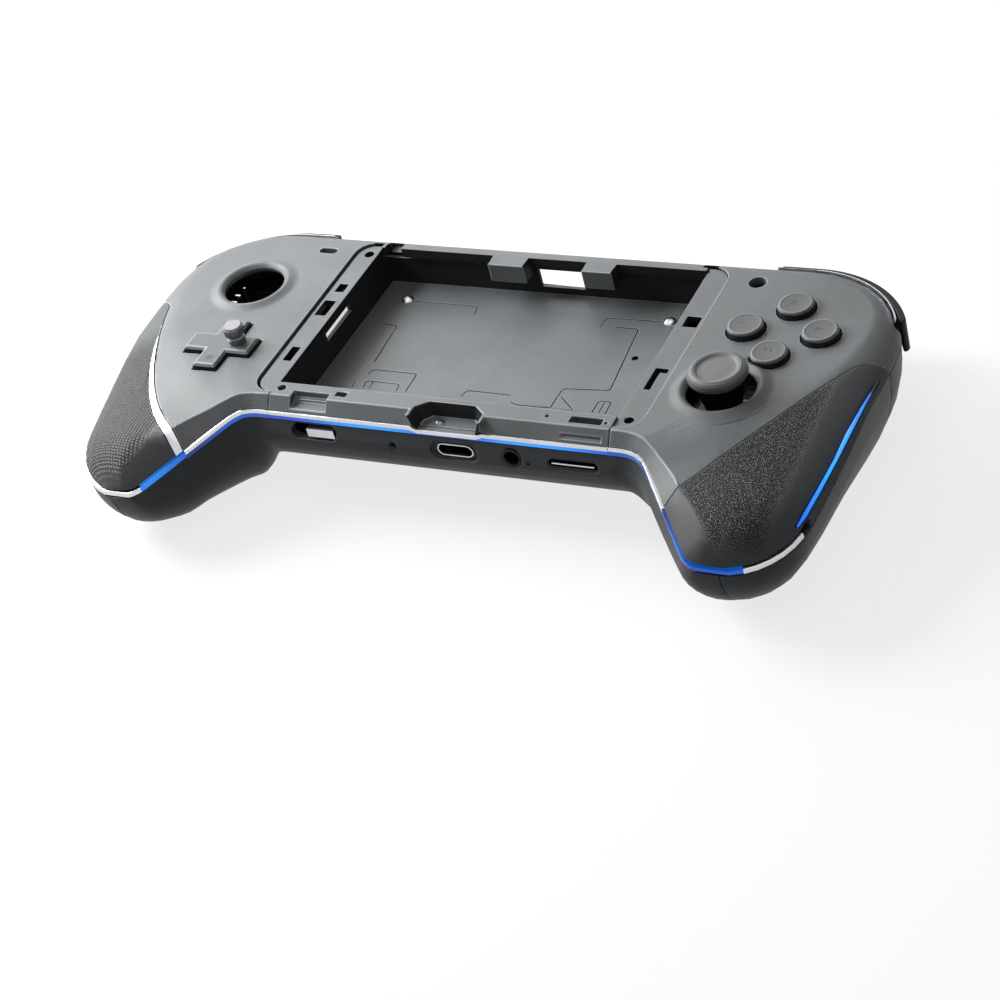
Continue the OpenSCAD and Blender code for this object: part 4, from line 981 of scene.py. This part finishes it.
# The blade in the empty well: a foot, an upright, and a tongue that leans over and narrows to
# its tip; lean and tip are each a step in mm and the width it leaves
blade = {
    "foot": {"low": (-75.4, 12.2, 14.0), "high": (-71.1, 18.9, 14.6), "corner": 0.5, "soft": 0.1},
    "stem": {"low": (-72.9, 12.4, 14.5), "high": (-71.2, 12.9, 26.4)},
    "lean": ((0.2, 2.0, 0.5), 0.85), "tip": ((0.5, 2.6, 0.3), 0.3), "thins": 0.9,
}
settle(roundedBlock("contactFoot", **blade["foot"]), "shell", "steel")
tongue = addBlock("contactBlade", **blade["stem"])
bpy.ops.object.transform_apply(location=True, rotation=False, scale=True)
for face in tongue.data.polygons:
    face.select = face.normal.z > 0.9
bpy.ops.object.mode_set(mode="EDIT")
bpy.ops.mesh.select_mode(type="FACE")
for step, width in (blade["lean"], blade["tip"]):
    bpy.ops.mesh.extrude_region_move(TRANSFORM_OT_translate={"value": [c * mm for c in step]})
    bpy.ops.transform.resize(value=(width, blade["thins"], 1))
bpy.ops.object.mode_set(mode="OBJECT")
settle(tongue, "shell", "steel")
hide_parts("stick_contact")
print("ports rimmed")

# Studio: a pale floor, a dim surround that shows white, and soft lamps, the brightest on the left
studio = {
    "floorSize": 8, "floorGap": 0.0002, "floorColour": (0.26, 0.26, 0.26), "floorRough": 0.95,
    "floorGlow": 0.78, "surround": 0.06, "white": (1, 1, 1), "aim": (0, 0, 0.02),
}
bpy.ops.mesh.primitive_plane_add(
    size=studio["floorSize"], location=(0, 0, cadBox[0].z - studio["floorGap"]))
floor = bpy.context.object
floor.name = "floor"


def whiteToEye(tree):
    # 1 for rays from the camera, and for those that metal, gloss and glass send out
    path = tree.nodes.new("ShaderNodeLightPath")
    first = mathNode(tree, "MAXIMUM", path.outputs["Is Camera Ray"], path.outputs["Is Glossy Ray"])
    return mathNode(tree, "MAXIMUM", first, path.outputs["Is Transmission Ray"])


floorMaterial = bpy.data.materials.new("paleFloor")
floorMaterial.use_nodes = True
floorTree = floorMaterial.node_tree
floorShader = floorTree.nodes["Principled BSDF"]
floorShader.inputs["Base Color"].default_value = opaque(studio["floorColour"])
floorShader.inputs["Roughness"].default_value = studio["floorRough"]
floorShader.inputs["Specular IOR Level"].default_value = 0
floorShader.inputs["Emission Color"].default_value = opaque(studio["white"])
floorGlow = mathNode(floorTree, "MULTIPLY", whiteToEye(floorTree), studio["floorGlow"])
floorTree.links.new(floorGlow, floorShader.inputs["Emission Strength"])
floor.data.materials.append(floorMaterial)

world = bpy.data.worlds.new("studioWorld")
bpy.context.scene.world = world
world.use_nodes = True
worldTree = world.node_tree
surround = worldTree.nodes["Background"]
surround.inputs["Color"].default_value = opaque(studio["white"])
surround.inputs["Strength"].default_value = studio["surround"]
seen = worldTree.nodes.new("ShaderNodeBackground")
seen.inputs["Color"].default_value = opaque(studio["white"])
seen.inputs["Strength"].default_value = 1
choose = worldTree.nodes.new("ShaderNodeMixShader")
worldTree.links.new(whiteToEye(worldTree), choose.inputs["Fac"])
worldTree.links.new(surround.outputs["Background"], choose.inputs[1])
worldTree.links.new(seen.outputs["Background"], choose.inputs[2])
worldTree.links.new(choose.outputs["Shader"], worldTree.nodes["World Output"].inputs["Surface"])

lamps = {
    "leftSoftbox": {"place": (-0.33, 0.04, 0.24), "size": 0.24, "power": 2.9},
    "backSoftbox": {"place": (-0.24, 0.34, 0.27), "size": 0.3, "power": 0.9},
    "topSoftbox": {"place": (0.04, -0.18, 0.8), "size": 0.5, "power": 1.0},
}
for name, lamp in lamps.items():
    bpy.ops.object.light_add(type="AREA", location=lamp["place"])
    light = bpy.context.object
    light.name = name
    light.data.size = lamp["size"]
    light.data.energy = lamp["power"]
    aim = Vector(studio["aim"]) - Vector(lamp["place"])
    light.rotation_euler = aim.to_track_quat("-Z", "Y").to_euler()

bpy.context.scene.view_settings.view_transform = "Standard"
print("studio lit")
